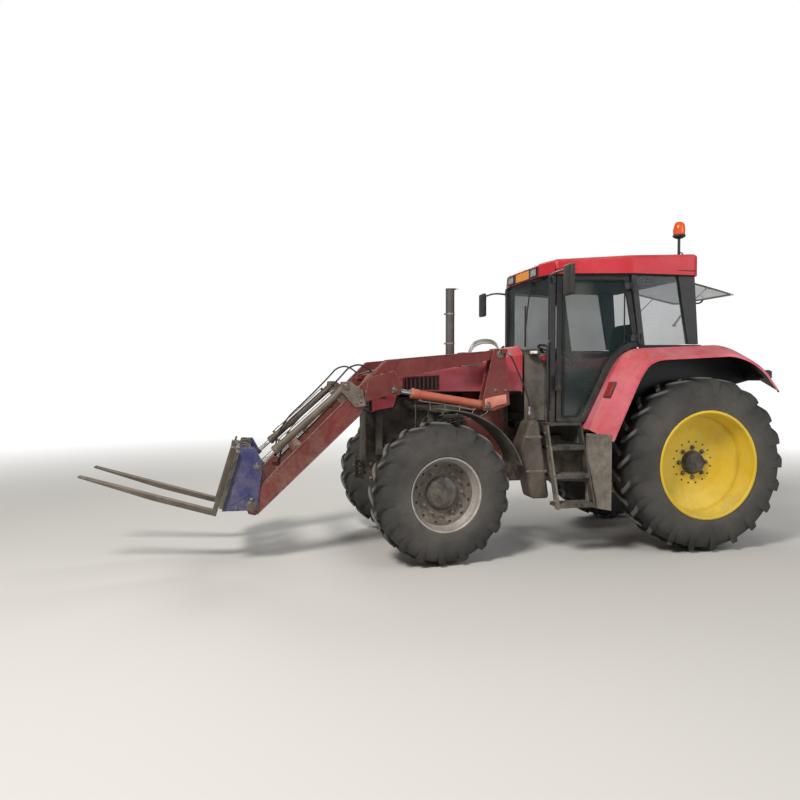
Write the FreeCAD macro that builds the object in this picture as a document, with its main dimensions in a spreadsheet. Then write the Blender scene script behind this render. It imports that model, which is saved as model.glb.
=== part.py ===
import FreeCAD, Part
import math
import os
import re
import Sketcher

# Farm tractor with a front loader that carries pallet forks.
# Millimetres. X points forward, Y to the driver's left, Z up, and the ground is at Z 0.
# Sizes are given from the point on the ground under the middle of the rear axle. The whole
# machine is then shifted by frame_x, so that the origin is the middle of its footprint.
# A piece that turns or tilts as a whole is drawn straight about its own pin and then placed.
# On the sides of the loader a piece is drawn on the left and mirrored to the right.

doc = FreeCAD.newDocument("tractor")
sheet = doc.addObject("Spreadsheet::Sheet", "Sizes")

# Columns: alias, value. The comment over each group says what it measures.
SIZES = (
    # Frame of the machine and its clearances
    ("fit_gap", 0.4), ("run_gap", 0.5), ("move_gap", 8),
    ("wheelbase", 2600), ("steer_rest", 6.5), ("plate", 15),
    # Rear wheel: radii, widths and its lugs
    ("rear_tyre_r", 840), ("rear_tyre_w", 430), ("rear_casing_r", 795), ("rear_tread_half", 185),
    ("rear_belly_r", 640), ("rear_rim_r", 500), ("rear_rim_half", 200), ("rear_track", 830),
    ("rear_disc_in", 260), ("rear_ring_r", 330), ("rear_dish", 70), ("rear_hub_r", 120),
    ("rear_hub_out", 70), ("rear_hub_in", 40), ("rear_lugs", 21), ("rear_lug_w", 56),
    ("rear_lug_sweep", 140), ("rear_lug_root", 690),
    # Front wheel, the same sizes
    ("front_tyre_r", 640), ("front_tyre_w", 378), ("front_casing_r", 600), ("front_tread_half", 160),
    ("front_belly_r", 480), ("front_rim_r", 325), ("front_rim_half", 160), ("front_track", 815),
    ("front_disc_in", 120), ("front_ring_r", 235), ("front_dish", 40), ("front_hub_r", 150),
    ("front_hub_out", 75), ("front_hub_in", 20), ("front_lugs", 18), ("front_lug_w", 50),
    ("front_lug_sweep", 120), ("front_lug_root", 510),
    ("rim_wall", 12), ("lug_middle", 6), ("lug_edge", 12), ("bead_in", 8),
    # Driveline: heights and half widths of the castings
    ("chassis_half", 200), ("engine_rear_x", 1700), ("engine_front_x", 3000), ("engine_top_z", 1480),
    ("bolster_rear_x", 2080), ("bolster_front_x", 3150), ("bolster_top_z", 900),
    ("sump_z", 640), ("gearbox_rear_x", -260), ("gearbox_top_z", 1080), ("gearbox_low_z", 560),
    ("bell_top_z", 1180), ("trumpet_r", 110), ("trumpet_flange_r", 165), ("flange_t", 30),
    ("pto_r", 17.5), ("pto_z", 660), ("pto_len", 90),
    # Front axle and kingpins
    ("king_y", 680), ("beam_half_x", 80), ("beam_half_z", 75), ("ear_t", 35), ("ear_half_z", 95),
    ("ear_reach", 60), ("ear_half_x", 55), ("yoke_y", 480), ("yoke_t", 120), ("boss_r", 58),
    ("kingpin_r", 30), ("carrier_r", 88), ("stay_w", 60), ("stay_t", 16), ("stay_y", 104),
    ("stay_z", 190), ("stay_in", 92),
    # Front mudguard: centre from the axle, radius, spread and width
    ("guard_dx", -10), ("guard_dz", -30), ("guard_r", 780), ("guard_t", 12),
    ("guard_in", 0), ("guard_w", 310), ("guard_start", 88), ("guard_end", 160),
    # Bonnet
    ("hood_half", 360), ("hood_rear_x", 1612), ("hood_rear_z", 1985), ("hood_front_z", 1700),
    ("hood_front_x", 3055), ("nose_x", 3110), ("nose_top_z", 1610), ("nose_low_z", 1345),
    ("hood_side_z", 1530), ("hood_side_x", 2860), ("nose_back_x", 2900),
    ("hood_wall", 12), ("hood_round", 80), ("grille_half", 290), ("grille_t", 20), ("grille_slot", 26),
    ("grille_slots", 6), ("stack_x", 2170), ("stack_y", -270), ("stack_r", 46), ("stack_top_z", 2600),
    ("stack_low_z", 1620), ("hood_pin_x", 1588), ("hood_pin_z", 1948), ("hood_pin_r", 12),
    ("hood_pin_y", 200), ("hood_lug_w", 60),
    # Cab: floor, pillars, walls and glass
    ("floor_z", 1240), ("floor_t", 30), ("cab_rear_x", -30), ("cab_half", 800), ("cab_taper", 200),
    ("pillar_b_x", 600), ("pillar_a_x", 1430), ("roof_low_z", 2660), ("post_w", 55), ("post_t", 50),
    ("pillar_b_low_x", 545), ("pillar_b_top_x", 640), ("pillar_c_low_x", -28), ("pillar_c_low_w", 108),
    ("pillar_c_top_x", 20), ("pillar_c_top_w", 177),
    ("sill_x", 1130), ("wall_t", 25), ("cowl_top_z", 1960), ("corner_top_z", 1905),
    ("cowl_front_x", 1600), ("glass_t", 6), ("rear_sill_z", 1960),
    # Doors, hinged at their rear edge on slanted pins
    ("door_gap", 8), ("wing_gap", 16), ("door_frame", 42), ("door_t", 38), ("door_in", 34),
    ("hinge_r", 13), ("hinge_len", 60), ("hinge_out", 16), ("hinge_off", 8), ("hinge_low", 60),
    ("hinge_high", 560),
    # Roof
    ("roof_over", 25), ("roof_front_x", 1465), ("roof_nose_in", 400), ("roof_corner_x", 1400),
    ("roof_corner_in", 160), ("roof_rear_x", -40), ("roof_rear_in", 40), ("roof_rear_z", 2870),
    ("roof_front_z", 2795), ("roof_soft", 30), ("roof_rear_cut", 60),
    # Rear window on its top hinge, held open
    ("hatch_len", 640), ("hatch_half", 520), ("hatch_open", 78), ("hatch_t", 10), ("hatch_lug", 40),
    ("hatch_lug_y", 330), ("hatch_lug_w", 60),
    # Seat, console and steering wheel
    ("seat_x", 330), ("seat_half", 240), ("seat_len", 470), ("seat_z", 1700), ("seat_pad", 110),
    ("seat_back", 560), ("seat_back_t", 110), ("console_x", 1120), ("console_half", 160),
    ("console_z", 1720), ("wheel_x", 985), ("wheel_z", 1910), ("wheel_r", 200), ("wheel_tube", 14),
    ("wheel_tilt", 30), ("shaft_r", 28),
    # Rear mudguards, each a top plate with an inner wall beside the cab
    ("wing_in", 570), ("wing_out", 1030), ("wing_t", 25), ("wing_low_x", 1120), ("wing_low_z", 1180),
    ("wing_front_x", 820), ("wing_front_z", 1850), ("wing_top_x", 680), ("wing_top_z", 1950),
    ("wing_back_x", -290), ("wing_back_z", 1995), ("wing_turn_x", -560), ("wing_turn_z", 1890),
    ("wing_end_x", -760), ("wing_end_z", 1640), ("wing_drop", 95), ("wing_back", 110),
    ("flap_z", 450), ("flap_t", 12), ("flap_in", 760), ("flap_lap", 60),
    # Tanks, seen from the side as bottles, and steps
    ("tank_low_x", 1512), ("tank_low_len", 178), ("tank_bulge_x", 1805), ("tank_neck_x", 1620),
    ("tank_neck", 90), ("tank_in", 560), ("tank_w", 240), ("tank_z", 540), ("tank_bulge_z", 1035),
    ("tank_top_z", 1275), ("tank_arm_x", 1560), ("tank_arm_z", 700), ("tank_arm", 80),
    ("step_x", 1135), ("step_len", 365), ("step_in", 600), ("step_out", 970), ("step_low_z", 480),
    ("step_gap", 255), ("step_deep", 200), ("step_t", 30), ("rail_t", 14), ("rail_h", 90),
    # Loader: pins seen from the side, arm and mast
    ("boom_x", 1930), ("boom_z", 1890), ("boom_y", 520), ("arm_w", 80), ("boom_pin_r", 25),
    ("lift_base_x", 2045), ("lift_base_z", 1405), ("lift_eye_x", 2950), ("lift_eye_z", 1555),
    ("head_x", 4240), ("head_z", 540), ("head_pin_r", 20), ("elbow_x", 3030), ("elbow_z", 1830),
    ("knee_x", 3240), ("knee_z", 1620), ("arm_end_x", 4215), ("arm_end_z", 655), ("arm_low_x", 3260),
    ("arm_low_z", 1340), ("arm_tip", 75), ("arm_belly_x", 3130), ("arm_belly_z", 1608),
    ("arm_notch_x", 2860), ("arm_notch_z", 1674), ("arm_rear_z", 1838), ("cross_x", 3790),
    ("cross_z", 985), ("cross_r", 60),
    ("mast_foot_in", 200), ("mast_low_z", 1370), ("foot_h", 110), ("foot_x", 1850), ("foot_len", 150),
    ("side_plate_x", 1760), ("side_plate_len", 420), ("side_plate_z", 820), ("side_plate_t", 22),
    # Cylinders: barrel and rod radii, and where each barrel starts and ends along its line
    ("lift_barrel_r", 40), ("lift_rod_r", 24), ("lift_barrel_end", 750), ("lift_rod_in", 145),
    ("crowd_x", 3390), ("crowd_z", 1590), ("crowd_eye_x", 4190), ("crowd_eye_z", 880),
    ("crowd_barrel_r", 34), ("crowd_rod_r", 20), ("crowd_barrel_end", 870), ("crowd_rod_in", 135),
    ("eye_r", 42), ("eye_w", 60), ("pin_r", 18), ("pin_end", 8), ("bore_in", 55),
    # Hoses, and the blocks and the neck that take their ends
    ("hose_r", 8), ("hose_in", 61), ("hose_out", 86), ("port_len", 60), ("port_w", 42), ("neck_r", 20),
    ("neck_h", 70),
    # Quick hitch and pallet forks, the forks drawn square from the heel and then tilted
    ("hitch_top_z", 1050), ("hitch_back_x", 4150), ("hitch_low_z", 500), ("hitch_tube_r", 35),
    ("hitch_tube_in", 45), ("hitch_tube_top_z", 1000), ("hitch_tube_low_z", 560),
    ("heel_x", 4580), ("heel_z", 480), ("fork_tilt", 16.9), ("tine_len", 1170), ("tine_nose", 12),
    ("tine_w", 100), ("tine_t", 45), ("tine_y", 350), ("shank_len", 585), ("fork_bar", 76),
    ("fork_half", 620), ("fork_bar_t", 32), ("fork_rib_t", 40), ("fork_low", 70),
    # Rear linkage and drawbar
    ("link_x", -120), ("link_z", 600), ("link_y", 270), ("link_end_x", -1045), ("link_end_y", 420),
    ("link_half_z", 38), ("link_t", 28), ("ball_r", 48), ("ball_w", 44), ("ball_bore", 18.5),
    ("rocker_x", -170), ("rocker_z", 1150), ("rocker_r", 42), ("rocker_len", 300), ("rocker_t", 30),
    ("rocker_end_r", 32), ("rocker_ear_y", 140), ("rocker_ear_r", 62), ("rod_r", 10), ("rod_eye_r", 30),
    ("rod_eye_w", 24), ("rod_pin_r", 12), ("rod_side", 34),
    ("draw_z", 440), ("draw_half", 55), ("draw_t", 38), ("draw_end_x", -760), ("draw_bore", 16),
    # Mirrors, lamps and beacon
    ("mirror_arm_r", 12), ("mirror_x", 1505), ("mirror_y", 1150), ("mirror_z", 2390), ("mirror_h", 240),
    ("mirror_w", 170), ("mirror_t", 50), ("lamp_y", 300), ("lamp_half", 85), ("lamp_h", 90),
    ("lamp_t", 24), ("amber_half", 185), ("beacon_x", 60), ("beacon_y", 600), ("beacon_r", 62),
    ("beacon_stalk_r", 14), ("beacon_z", 3060), ("beacon_top_z", 3220), ("beacon_seat_r", 34),
)
# Names that stand for a sum of sizes
DERIVED = {
    # Half way between the tips of the forks and the ends of the lower links
    "frame_x": "(-(heel_x + tine_len * cos(fork_tilt) + tine_nose * sin(fork_tilt) + link_end_x - ball_r) / 2)",
    "cab_front_half": "(cab_half - cab_taper)",
    "roof_half": "(cab_half + roof_over)",
    "roof_nose_half": "(cab_half - roof_nose_in)",
    "roof_corner_half": "(cab_half - roof_corner_in)",
    "roof_rear_half": "(cab_half - roof_rear_in)",
}
for row, (alias, value) in enumerate(SIZES, start=1):
    sheet.set("A%d" % row, alias)
    sheet.set("B%d" % row, str(value))
    sheet.setAlias("B%d" % row, alias)
doc.recompute()
NAMES = {alias for alias, value in SIZES}
NODES = []


def bound(text):
    """The text with each size's name pointed at its cell of the sheet."""
    text = re.sub(r"[a-z_][a-z0-9_]*", lambda m: DERIVED.get(m[0], m[0]), str(text))
    return re.sub(r"[a-z_][a-z0-9_]*", lambda m: "Sizes." + m[0] if m[0] in NAMES else m[0], text)


def value(text):
    """The number that a text of sizes stands for now."""
    found = sheet.evalExpression(bound(text))
    return float(getattr(found, "Value", found))


def tie(thing, path, text):
    thing.setExpression(path, bound(text))


def put(thing, x="0", y="0", z="0", axis=(0, 1, 0), angle="0"):
    """Place an object by sizes: a turn about an axis, then a shift."""
    thing.Placement = FreeCAD.Placement(
        FreeCAD.Vector(0, 0, 0), FreeCAD.Rotation(FreeCAD.Vector(*axis), value(angle) or 0.001))
    tie(thing, "Placement.Base.x", x)
    tie(thing, "Placement.Base.y", y)
    tie(thing, "Placement.Base.z", z)
    tie(thing, "Placement.Rotation.Angle", angle)


def node(thing, label):
    """Hand a finished object in under its own name."""
    thing.Label = label
    NODES.append(thing)
    return thing


def body(name, placed=True):
    """A new body, shifted to the machine's origin unless it is drawn about its own pin."""
    made = doc.addObject("PartDesign::Body", name)
    if placed:
        tie(made, "Placement.Base.x", "frame_x")
    return made


def sketch(of_body, plane, at, *loops):
    """A closed sketch on XY, XZ or YZ at a distance. A loop is points, or ("circle", x, y, radius)."""
    made = of_body.newObject("Sketcher::SketchObject", of_body.Name + "_outline")
    flat = [f for f in of_body.Origin.OriginFeatures if f.Role == plane + "_Plane"][0]
    made.AttachmentSupport = (flat, [""])
    made.MapMode = "FlatFace"
    tie(made, "AttachmentOffset.Base.z", "-(%s)" % at if plane == "XZ" else at)
    for loop in loops:
        first = made.GeometryCount
        if loop[0] == "circle":
            spots = [loop[1:3]]
            centre = FreeCAD.Vector(value(loop[1]), value(loop[2]), 0)
            made.addGeometry(Part.Circle(centre, FreeCAD.Vector(0, 0, 1), value(loop[3])), False)
            tie(made, "Constraints[%d]" % made.addConstraint(
                Sketcher.Constraint("Radius", first, value(loop[3]))), loop[3])
        else:
            spots = loop
            corners = [FreeCAD.Vector(value(x), value(y), 0) for x, y in loop]
            for number, corner in enumerate(corners):
                after = corners[(number + 1) % len(corners)]
                made.addGeometry(Part.LineSegment(corner, after), False)
            for number in range(len(corners)):
                after = first + (number + 1) % len(corners)
                made.addConstraint(Sketcher.Constraint("Coincident", first + number, 2, after, 1))
        point = 3 if loop[0] == "circle" else 1
        for number, spot in enumerate(spots):
            for kind, text in zip(("DistanceX", "DistanceY"), spot):
                tie(made, "Constraints[%d]" % made.addConstraint(
                    Sketcher.Constraint(kind, first + number, point, value(text))), text)
    made.Label2 = plane
    return made


def extrude(kind, of_body, outline, length, both, back):
    made = of_body.newObject("PartDesign::" + kind, of_body.Name + "_" + kind.lower())
    made.Profile = outline
    tie(made, "Length", length)
    if both:
        made.SideType = "Symmetric"
    ahead = (outline.Label2 == "XZ") != (kind == "Pocket")
    made.Reversed = ahead != back
    return made


def pad(of_body, outline, length, both=False, back=False):
    """Material from a sketch along its plane's positive axis, or both ways, or back."""
    return extrude("Pad", of_body, outline, length, both, back)


def cut(of_body, outline, length, both=False, back=False):
    """A cut from a sketch along its plane's positive axis, or both ways, or back."""
    return extrude("Pocket", of_body, outline, length, both, back)


def turn(of_body, outline, axis="H_Axis", kind="Revolution"):
    made = of_body.newObject("PartDesign::" + kind, of_body.Name + "_turned")
    made.Profile = outline
    made.ReferenceAxis = (outline, [axis])
    made.Angle = 360
    return made


def edges(feature, wanted):
    """Names of a feature's edges whose box passes a test."""
    return ["Edge%d" % n for n, e in enumerate(feature.Shape.Edges, start=1) if wanted(e.BoundBox)]


def soften(kind, of_body, feature, names, size):
    """A fillet or chamfer on named edges."""
    made = of_body.newObject("PartDesign::" + kind, of_body.Name + "_" + kind.lower())
    made.Base = (feature, names)
    tie(made, "Radius" if kind == "Fillet" else "Size", size)
    return made


def mirror(source, name=None):
    """The same piece on the machine's other side."""
    made = doc.addObject("Part::Mirroring", name or source.Name + "_mirrored")
    made.Source = source
    made.Normal = FreeCAD.Vector(0, 1, 0)
    return made


def group(label, *sources):
    """Like pieces that don't touch, handed in as one node."""
    made = doc.addObject("Part::Compound", label)
    made.Links = list(sources)
    return node(made, label)


def pair(label, source):
    return group(label, source, mirror(source))


def box(of_body, x, y, z, dx, dy, dz):
    """A block from its low corner and its three lengths, added to a body."""
    low, wide = "(%s)" % x, "(%s) + (%s)" % (x, dx)
    near, far = "(%s)" % y, "(%s) + (%s)" % (y, dy)
    corners = ((low, near), (wide, near), (wide, far), (low, far))
    return pad(of_body, sketch(of_body, "XY", z, corners), dz)


# Wheels

def build_tyre(end):
    """A tyre on its own axle: a turned casing and two rows of slanted lugs, half a pitch apart."""
    size = lambda part: end + "_" + part
    tyre = body(end + "_tyre", placed=False)
    half = size("tyre_w") + " / 2"
    seat = size("rim_half") + " - bead_in"
    outline = sketch(tyre, "YZ", "0", (
        ("-(%s)" % seat, size("rim_r")), ("-" + half, size("belly_r")),
        ("-" + size("tread_half"), size("casing_r")), (size("tread_half"), size("casing_r")),
        (half, size("belly_r")), (seat, size("rim_r"))))
    turn(tyre, outline)
    lean, wide = size("lug_sweep") + " / 2", size("lug_w") + " / 2"
    # The lug's flat crown stays inside the tyre's radius at both of its ends.
    crown = "sqrt(%s ^ 2 - (%s + %s) ^ 2)" % (size("tyre_r"), lean, wide)
    for side in (1, -1):
        inner, outer = "%d * lug_middle" % -side, "%d * (%s - lug_edge)" % (side, half)
        lug = pad(tyre, sketch(tyre, "XY", crown, (
            ("%s - %s" % (lean, wide), inner), ("%s + %s" % (lean, wide), inner),
            ("-%s + %s" % (lean, wide), outer), ("-%s - %s" % (lean, wide), outer))),
            "(%s) - %s" % (crown, size("lug_root")), back=True)
        ring = tyre.newObject("PartDesign::PolarPattern", end + "_lug_row")
        ring.Originals = [lug]
        ring.Axis = ([f for f in tyre.Origin.OriginFeatures if f.Role == "Y_Axis"][0], [""])
        ring.Angle = 360
        tie(ring, "Occurrences", size("lugs"))
        tyre.Tip = ring
        if side < 0:
            turned = 180.0 / value(size("lugs"))
            lug.Profile[0].AttachmentOffset = FreeCAD.Placement(
                FreeCAD.Vector(0, 0, 0), FreeCAD.Rotation(FreeCAD.Vector(0, 1, 0), turned))
            tie(lug.Profile[0], "AttachmentOffset.Rotation.Angle", "180 / " + size("lugs"))
            tie(lug.Profile[0], "AttachmentOffset.Base.x", "(%s) * sin(180 / %s)" % (crown, size("lugs")))
            tie(lug.Profile[0], "AttachmentOffset.Base.z", "(%s) * cos(180 / %s)" % (crown, size("lugs")))
    # A lug's corner is turned to the ground, where the tyre stands on it.
    put(tyre, angle="asin((%s + %s) / %s)" % (lean, wide, size("tyre_r")))
    return tyre


def build_rim(end):
    """A rim with its dished disc and hub, turned in one piece about the axle."""
    size = lambda part: end + "_" + part
    rim = body(end + "_rim", placed=False)
    half, disc = size("rim_half"), "(%s - %s)" % (size("rim_half"), size("disc_in"))
    inside, ring, hub = size("rim_r") + " - rim_wall", size("ring_r"), size("hub_r")
    seat = size("rim_r") + " - fit_gap"
    outline = sketch(rim, "YZ", "0", (
        (half, seat), (half, inside), ("%s + %s" % (disc, size("dish")), inside), (disc, ring), (disc, hub),
        ("%s + %s" % (disc, size("hub_out")), hub + " - 12"), ("%s + %s" % (disc, size("hub_out")), "0"),
        ("%s - %s" % (disc, size("hub_in")), "0"), ("%s - %s" % (disc, size("hub_in")), ring),
        ("%s + %s - rim_wall" % (disc, size("dish")), inside), ("-" + half, inside), ("-" + half, seat)))
    turn(rim, outline)
    return rim


def set_wheel(end, piece, source):
    """The left and the right wheel piece at their places; the front pair is steered."""
    other = mirror(source)
    for side, sign, shape in (("left", 1, source), ("right", -1, other)):
        placed = doc.addObject("Part::Compound", "%s_%s_%s" % (end, piece, side))
        placed.Links = [shape]
        if end == "rear":
            put(placed, "frame_x", "%d * rear_track" % sign, "rear_tyre_r")
        else:
            out = "(front_track - king_y)"
            put(placed, "frame_x + wheelbase - %d * %s * sin(steer_rest)" % (sign, out),
                "%d * (king_y + %s * cos(steer_rest))" % (sign, out), "front_tyre_r", (0, 0, 1), "steer_rest")
        node(placed, placed.Name)


for end in ("rear", "front"):
    set_wheel(end, "tyre", build_tyre(end))
    set_wheel(end, "rim", build_rim(end))

# Driveline castings

engine = node(body("engine_block"), "engine_block")
pad(engine, sketch(engine, "XZ", "0", (
    ("engine_rear_x", "sump_z"), ("bolster_rear_x", "sump_z"), ("bolster_rear_x", "bolster_top_z"),
    ("engine_front_x", "bolster_top_z"), ("engine_front_x", "engine_top_z"),
    ("engine_rear_x", "engine_top_z"))), "2 * chassis_half", both=True)

gearbox = node(body("gearbox_housing"), "gearbox_housing")
pad(gearbox, sketch(gearbox, "XZ", "0", (
    ("gearbox_rear_x", "gearbox_low_z"), ("gearbox_rear_x + 500", "gearbox_low_z"),
    ("engine_rear_x", "sump_z"), ("engine_rear_x", "bell_top_z"), ("engine_rear_x - 350", "gearbox_top_z"),
    ("gearbox_rear_x", "gearbox_top_z"))), "2 * chassis_half", both=True)
pad(gearbox, sketch(gearbox, "YZ", "gearbox_rear_x", ("circle", "0", "pto_z", "pto_r")), "pto_len", back=True)
pad(gearbox, sketch(gearbox, "XZ", "0", ("circle", "link_x", "link_z", "pin_r")),
    "2 * link_y + ball_w + 16", both=True)
for side in (1, -1):
    middle = "%d * rocker_ear_y" % side
    pad(gearbox, sketch(gearbox, "XZ", middle, (
        ("rocker_x - rocker_ear_r", "gearbox_top_z - 20"), ("rocker_x + rocker_ear_r", "gearbox_top_z - 20"),
        ("rocker_x + rocker_ear_r", "rocker_z"), ("rocker_x + rocker_ear_r / 2", "rocker_z + rocker_ear_r"),
        ("rocker_x - rocker_ear_r / 2", "rocker_z + rocker_ear_r"), ("rocker_x - rocker_ear_r", "rocker_z"))),
        "flange_t", both=True)
    cut(gearbox, sketch(gearbox, "XZ", middle, ("circle", "rocker_x", "rocker_z", "rocker_r + run_gap")),
        "2 * flange_t", both=True)

trumpet_end = "(rear_track + rear_rim_half - rear_disc_in - rear_hub_in - run_gap)"
trumpet = body("trumpet")
pad(trumpet, sketch(trumpet, "XZ", "chassis_half", ("circle", "0", "rear_tyre_r", "trumpet_r")),
    trumpet_end + " - chassis_half")
pad(trumpet, sketch(trumpet, "XZ", trumpet_end, ("circle", "0", "rear_tyre_r", "trumpet_flange_r")),
    "flange_t", back=True)
pair("rear_axle", trumpet)

bolster = node(body("front_bolster"), "front_bolster")
pad(bolster, sketch(bolster, "XZ", "0", (
    ("bolster_rear_x", "front_tyre_r + beam_half_z"), ("bolster_front_x - 60", "front_tyre_r + beam_half_z"),
    ("bolster_front_x", "bolster_top_z - 130"), ("bolster_front_x", "nose_low_z"),
    ("engine_front_x", "nose_low_z"), ("engine_front_x", "bolster_top_z"),
    ("bolster_rear_x", "bolster_top_z"))), "2 * chassis_half - 40", both=True)

beam = node(body("front_axle_beam"), "front_axle_beam")
box(beam, "wheelbase - beam_half_x", "-yoke_y", "front_tyre_r - beam_half_z",
    "2 * beam_half_x", "2 * yoke_y", "2 * beam_half_z")
for side in (1, -1):
    for level in (1, -1):
        ear_z = "front_tyre_r + %s" % ("ear_half_z" if level > 0 else "-ear_half_z - ear_t")
        box(beam, "wheelbase - ear_half_x", "yoke_y" if side > 0 else "-king_y - ear_reach", ear_z,
            "2 * ear_half_x", "king_y + ear_reach - yoke_y", "ear_t")
    box(beam, "wheelbase - ear_half_x", "%d * yoke_y - %s" % (side, "0" if side > 0 else "yoke_t"),
        "front_tyre_r - ear_half_z - ear_t", "2 * ear_half_x", "yoke_t", "2 * (ear_half_z + ear_t)")
    cut(beam, sketch(beam, "XY", "front_tyre_r", ("circle", "wheelbase", "%d * king_y" % side,
        "kingpin_r + fit_gap")), "4 * ear_half_z", both=True)


# Knuckles and front mudguards, drawn about the kingpin at the height of the axle

knuckle = body("knuckle", placed=False)
carrier_end = "front_track - king_y + front_rim_half - front_disc_in - front_hub_in - run_gap"
for r, height in (("boss_r", "ear_half_z - run_gap"), ("kingpin_r", "ear_half_z + ear_t")):
    pad(knuckle, sketch(knuckle, "XY", "0", ("circle", "0", "0", r)), "2 * (%s)" % height, both=True)
pad(knuckle, sketch(knuckle, "XZ", "0", ("circle", "0", "0", "carrier_r")), carrier_end)
guard_low = "sqrt((guard_r - guard_t - fit_gap) ^ 2 - (stay_w / 2) ^ 2) + guard_dz"
pad(knuckle, sketch(knuckle, "YZ", "0", (
    ("stay_y", "0"), ("stay_y + stay_t", "0"), ("stay_y + stay_t", "stay_z + stay_t"),
    ("stay_t - stay_in", "stay_z + stay_t"), ("stay_t - stay_in", guard_low + " - stay_t"),
    ("guard_in + guard_w - 40", guard_low + " - stay_t"), ("guard_in + guard_w - 40", guard_low),
    ("-stay_in", guard_low), ("-stay_in", "stay_z"), ("stay_y", "stay_z"))), "stay_w", both=True)

# The mudguard is a part of a ring about its own centre, turned back so that it starts above the axle.
guard = body("front_guard", placed=False)
guard_ring = turn(guard, sketch(guard, "YZ", "0", (
    ("guard_in", "guard_r - guard_t"), ("guard_in + guard_w", "guard_r - guard_t"),
    ("guard_in + guard_w", "guard_r"), ("guard_in", "guard_r"))))
guard_ring.Reversed = True
tie(guard_ring, "Angle", "guard_end - guard_start")
put(guard, "guard_dx", "0", "guard_dz", (0, 1, 0), "90 - guard_start")

for piece, source in (("knuckle", knuckle), ("front_fender", guard)):
    for side, sign, shape in (("left", 1, source), ("right", -1, mirror(source))):
        placed = doc.addObject("Part::Compound", "%s_%s" % (piece, side))
        placed.Links = [shape]
        put(placed, "frame_x + wheelbase", "%d * king_y" % sign, "front_tyre_r", (0, 0, 1), "steer_rest")
        node(placed, placed.Name)

# Bonnet, nose and exhaust

hood = node(body("hood_shell"), "hood_shell")
hood_solid = pad(hood, sketch(hood, "XZ", "0", (
    ("hood_rear_x", "hood_side_z"), ("hood_side_x", "hood_side_z"), ("nose_back_x", "nose_low_z + 40"),
    ("nose_x", "nose_low_z"), ("nose_x", "nose_top_z"), ("hood_front_x", "hood_front_z"),
    ("hood_rear_x", "hood_rear_z"))), "2 * hood_half", both=True)
doc.recompute()
rounded = soften("Chamfer", hood, hood_solid, edges(hood_solid, lambda b: b.YLength < 1 and b.ZMin
                 > value("hood_front_z") - 1 and b.XLength > 100), "hood_round")
doc.recompute()
open_faces = ["Face%d" % n for n, f in enumerate(rounded.Shape.Faces, start=1)
              if f.normalAt(0, 0).z < -0.05 or f.normalAt(0, 0).x < -0.9]
shell = hood.newObject("PartDesign::Thickness", "hood_hollow")
shell.Base = (rounded, open_faces)
shell.Join = "Intersection"
shell.Reversed = True
tie(shell, "Value", "hood_wall")
cut(hood, sketch(hood, "XY", "hood_rear_z", ("circle", "stack_x", "stack_y", "stack_r + fit_gap")),
    "hood_rear_z - stack_low_z", back=True)
# Two lugs behind the bonnet's rear edge turn on the pins of the cowl.
hood_lug = (("hood_pin_x", "hood_pin_z - hood_pin_r"), ("hood_pin_x", "hood_pin_z + hood_pin_r"),
            ("hood_rear_x + 4", "hood_rear_z - 5"), ("hood_rear_x + 50", "hood_rear_z - 17"))
for side in (1, -1):
    for loop in (hood_lug, ("circle", "hood_pin_x", "hood_pin_z", "hood_pin_r + 10")):
        pad(hood, sketch(hood, "XZ", "%d * hood_pin_y" % side, loop), "hood_lug_w", both=True)
    cut(hood, sketch(hood, "XZ", "%d * hood_pin_y" % side, ("circle", "hood_pin_x", "hood_pin_z",
        "hood_pin_r + fit_gap")), "hood_lug_w", both=True)

grille = node(body("nose_grille"), "nose_grille")
pad(grille, sketch(grille, "YZ", "nose_x", (
    ("-grille_half", "nose_low_z + 20"), ("grille_half", "nose_low_z + 20"),
    ("grille_half", "nose_top_z - 15"), ("-grille_half", "nose_top_z - 15"))), "grille_t")
slot_step = "(nose_top_z - nose_low_z - 35) / grille_slots"
slot = cut(grille, sketch(grille, "YZ", "nose_x", (
    ("-grille_half + 30", "nose_low_z + 20 + (%s - grille_slot) / 2" % slot_step),
    ("grille_half - 30", "nose_low_z + 20 + (%s - grille_slot) / 2" % slot_step),
    ("grille_half - 30", "nose_low_z + 20 + (%s + grille_slot) / 2" % slot_step),
    ("-grille_half + 30", "nose_low_z + 20 + (%s + grille_slot) / 2" % slot_step))), "grille_t")
slots = grille.newObject("PartDesign::LinearPattern", "grille_rows")
slots.Originals = [slot]
slots.Direction = ([f for f in grille.Origin.OriginFeatures if f.Role == "Z_Axis"][0], [""])
tie(slots, "Length", "(%s) * (grille_slots - 1)" % slot_step)
tie(slots, "Occurrences", "grille_slots")
grille.Tip = slots

stack = node(body("exhaust_stack"), "exhaust_stack")
pad(stack, sketch(stack, "XY", "stack_low_z", ("circle", "stack_x", "stack_y", "stack_r")),
    "stack_top_z - stack_low_z")
cut(stack, sketch(stack, "XY", "stack_top_z", ("circle", "stack_x", "stack_y", "stack_r - 6")), "400",
    back=True)

# Cab: floor, walls, pillars, roof and glass

floor = node(body("cab_floor"), "cab_floor")
side_run = "(cab_half - cab_front_half) / (pillar_a_x - pillar_b_x)"
sill_half = "(cab_half - (sill_x - pillar_b_x) * %s)" % side_run
floor_half = [("cab_rear_x", "wing_in - fit_gap"), ("sill_x", "wing_in - fit_gap"),
              ("sill_x", sill_half), ("pillar_a_x", "cab_front_half")]
pad(floor, sketch(floor, "XY", "floor_z", floor_half + [(x, "-(%s)" % y) for x, y in floor_half[::-1]]),
    "floor_t", back=True)
mount_w = "140"
for x in ("cab_rear_x + 200", "sill_x - 200"):
    box(floor, x, "-chassis_half", "gearbox_top_z", mount_w, "2 * chassis_half",
        "floor_z - floor_t - gearbox_top_z")

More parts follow.
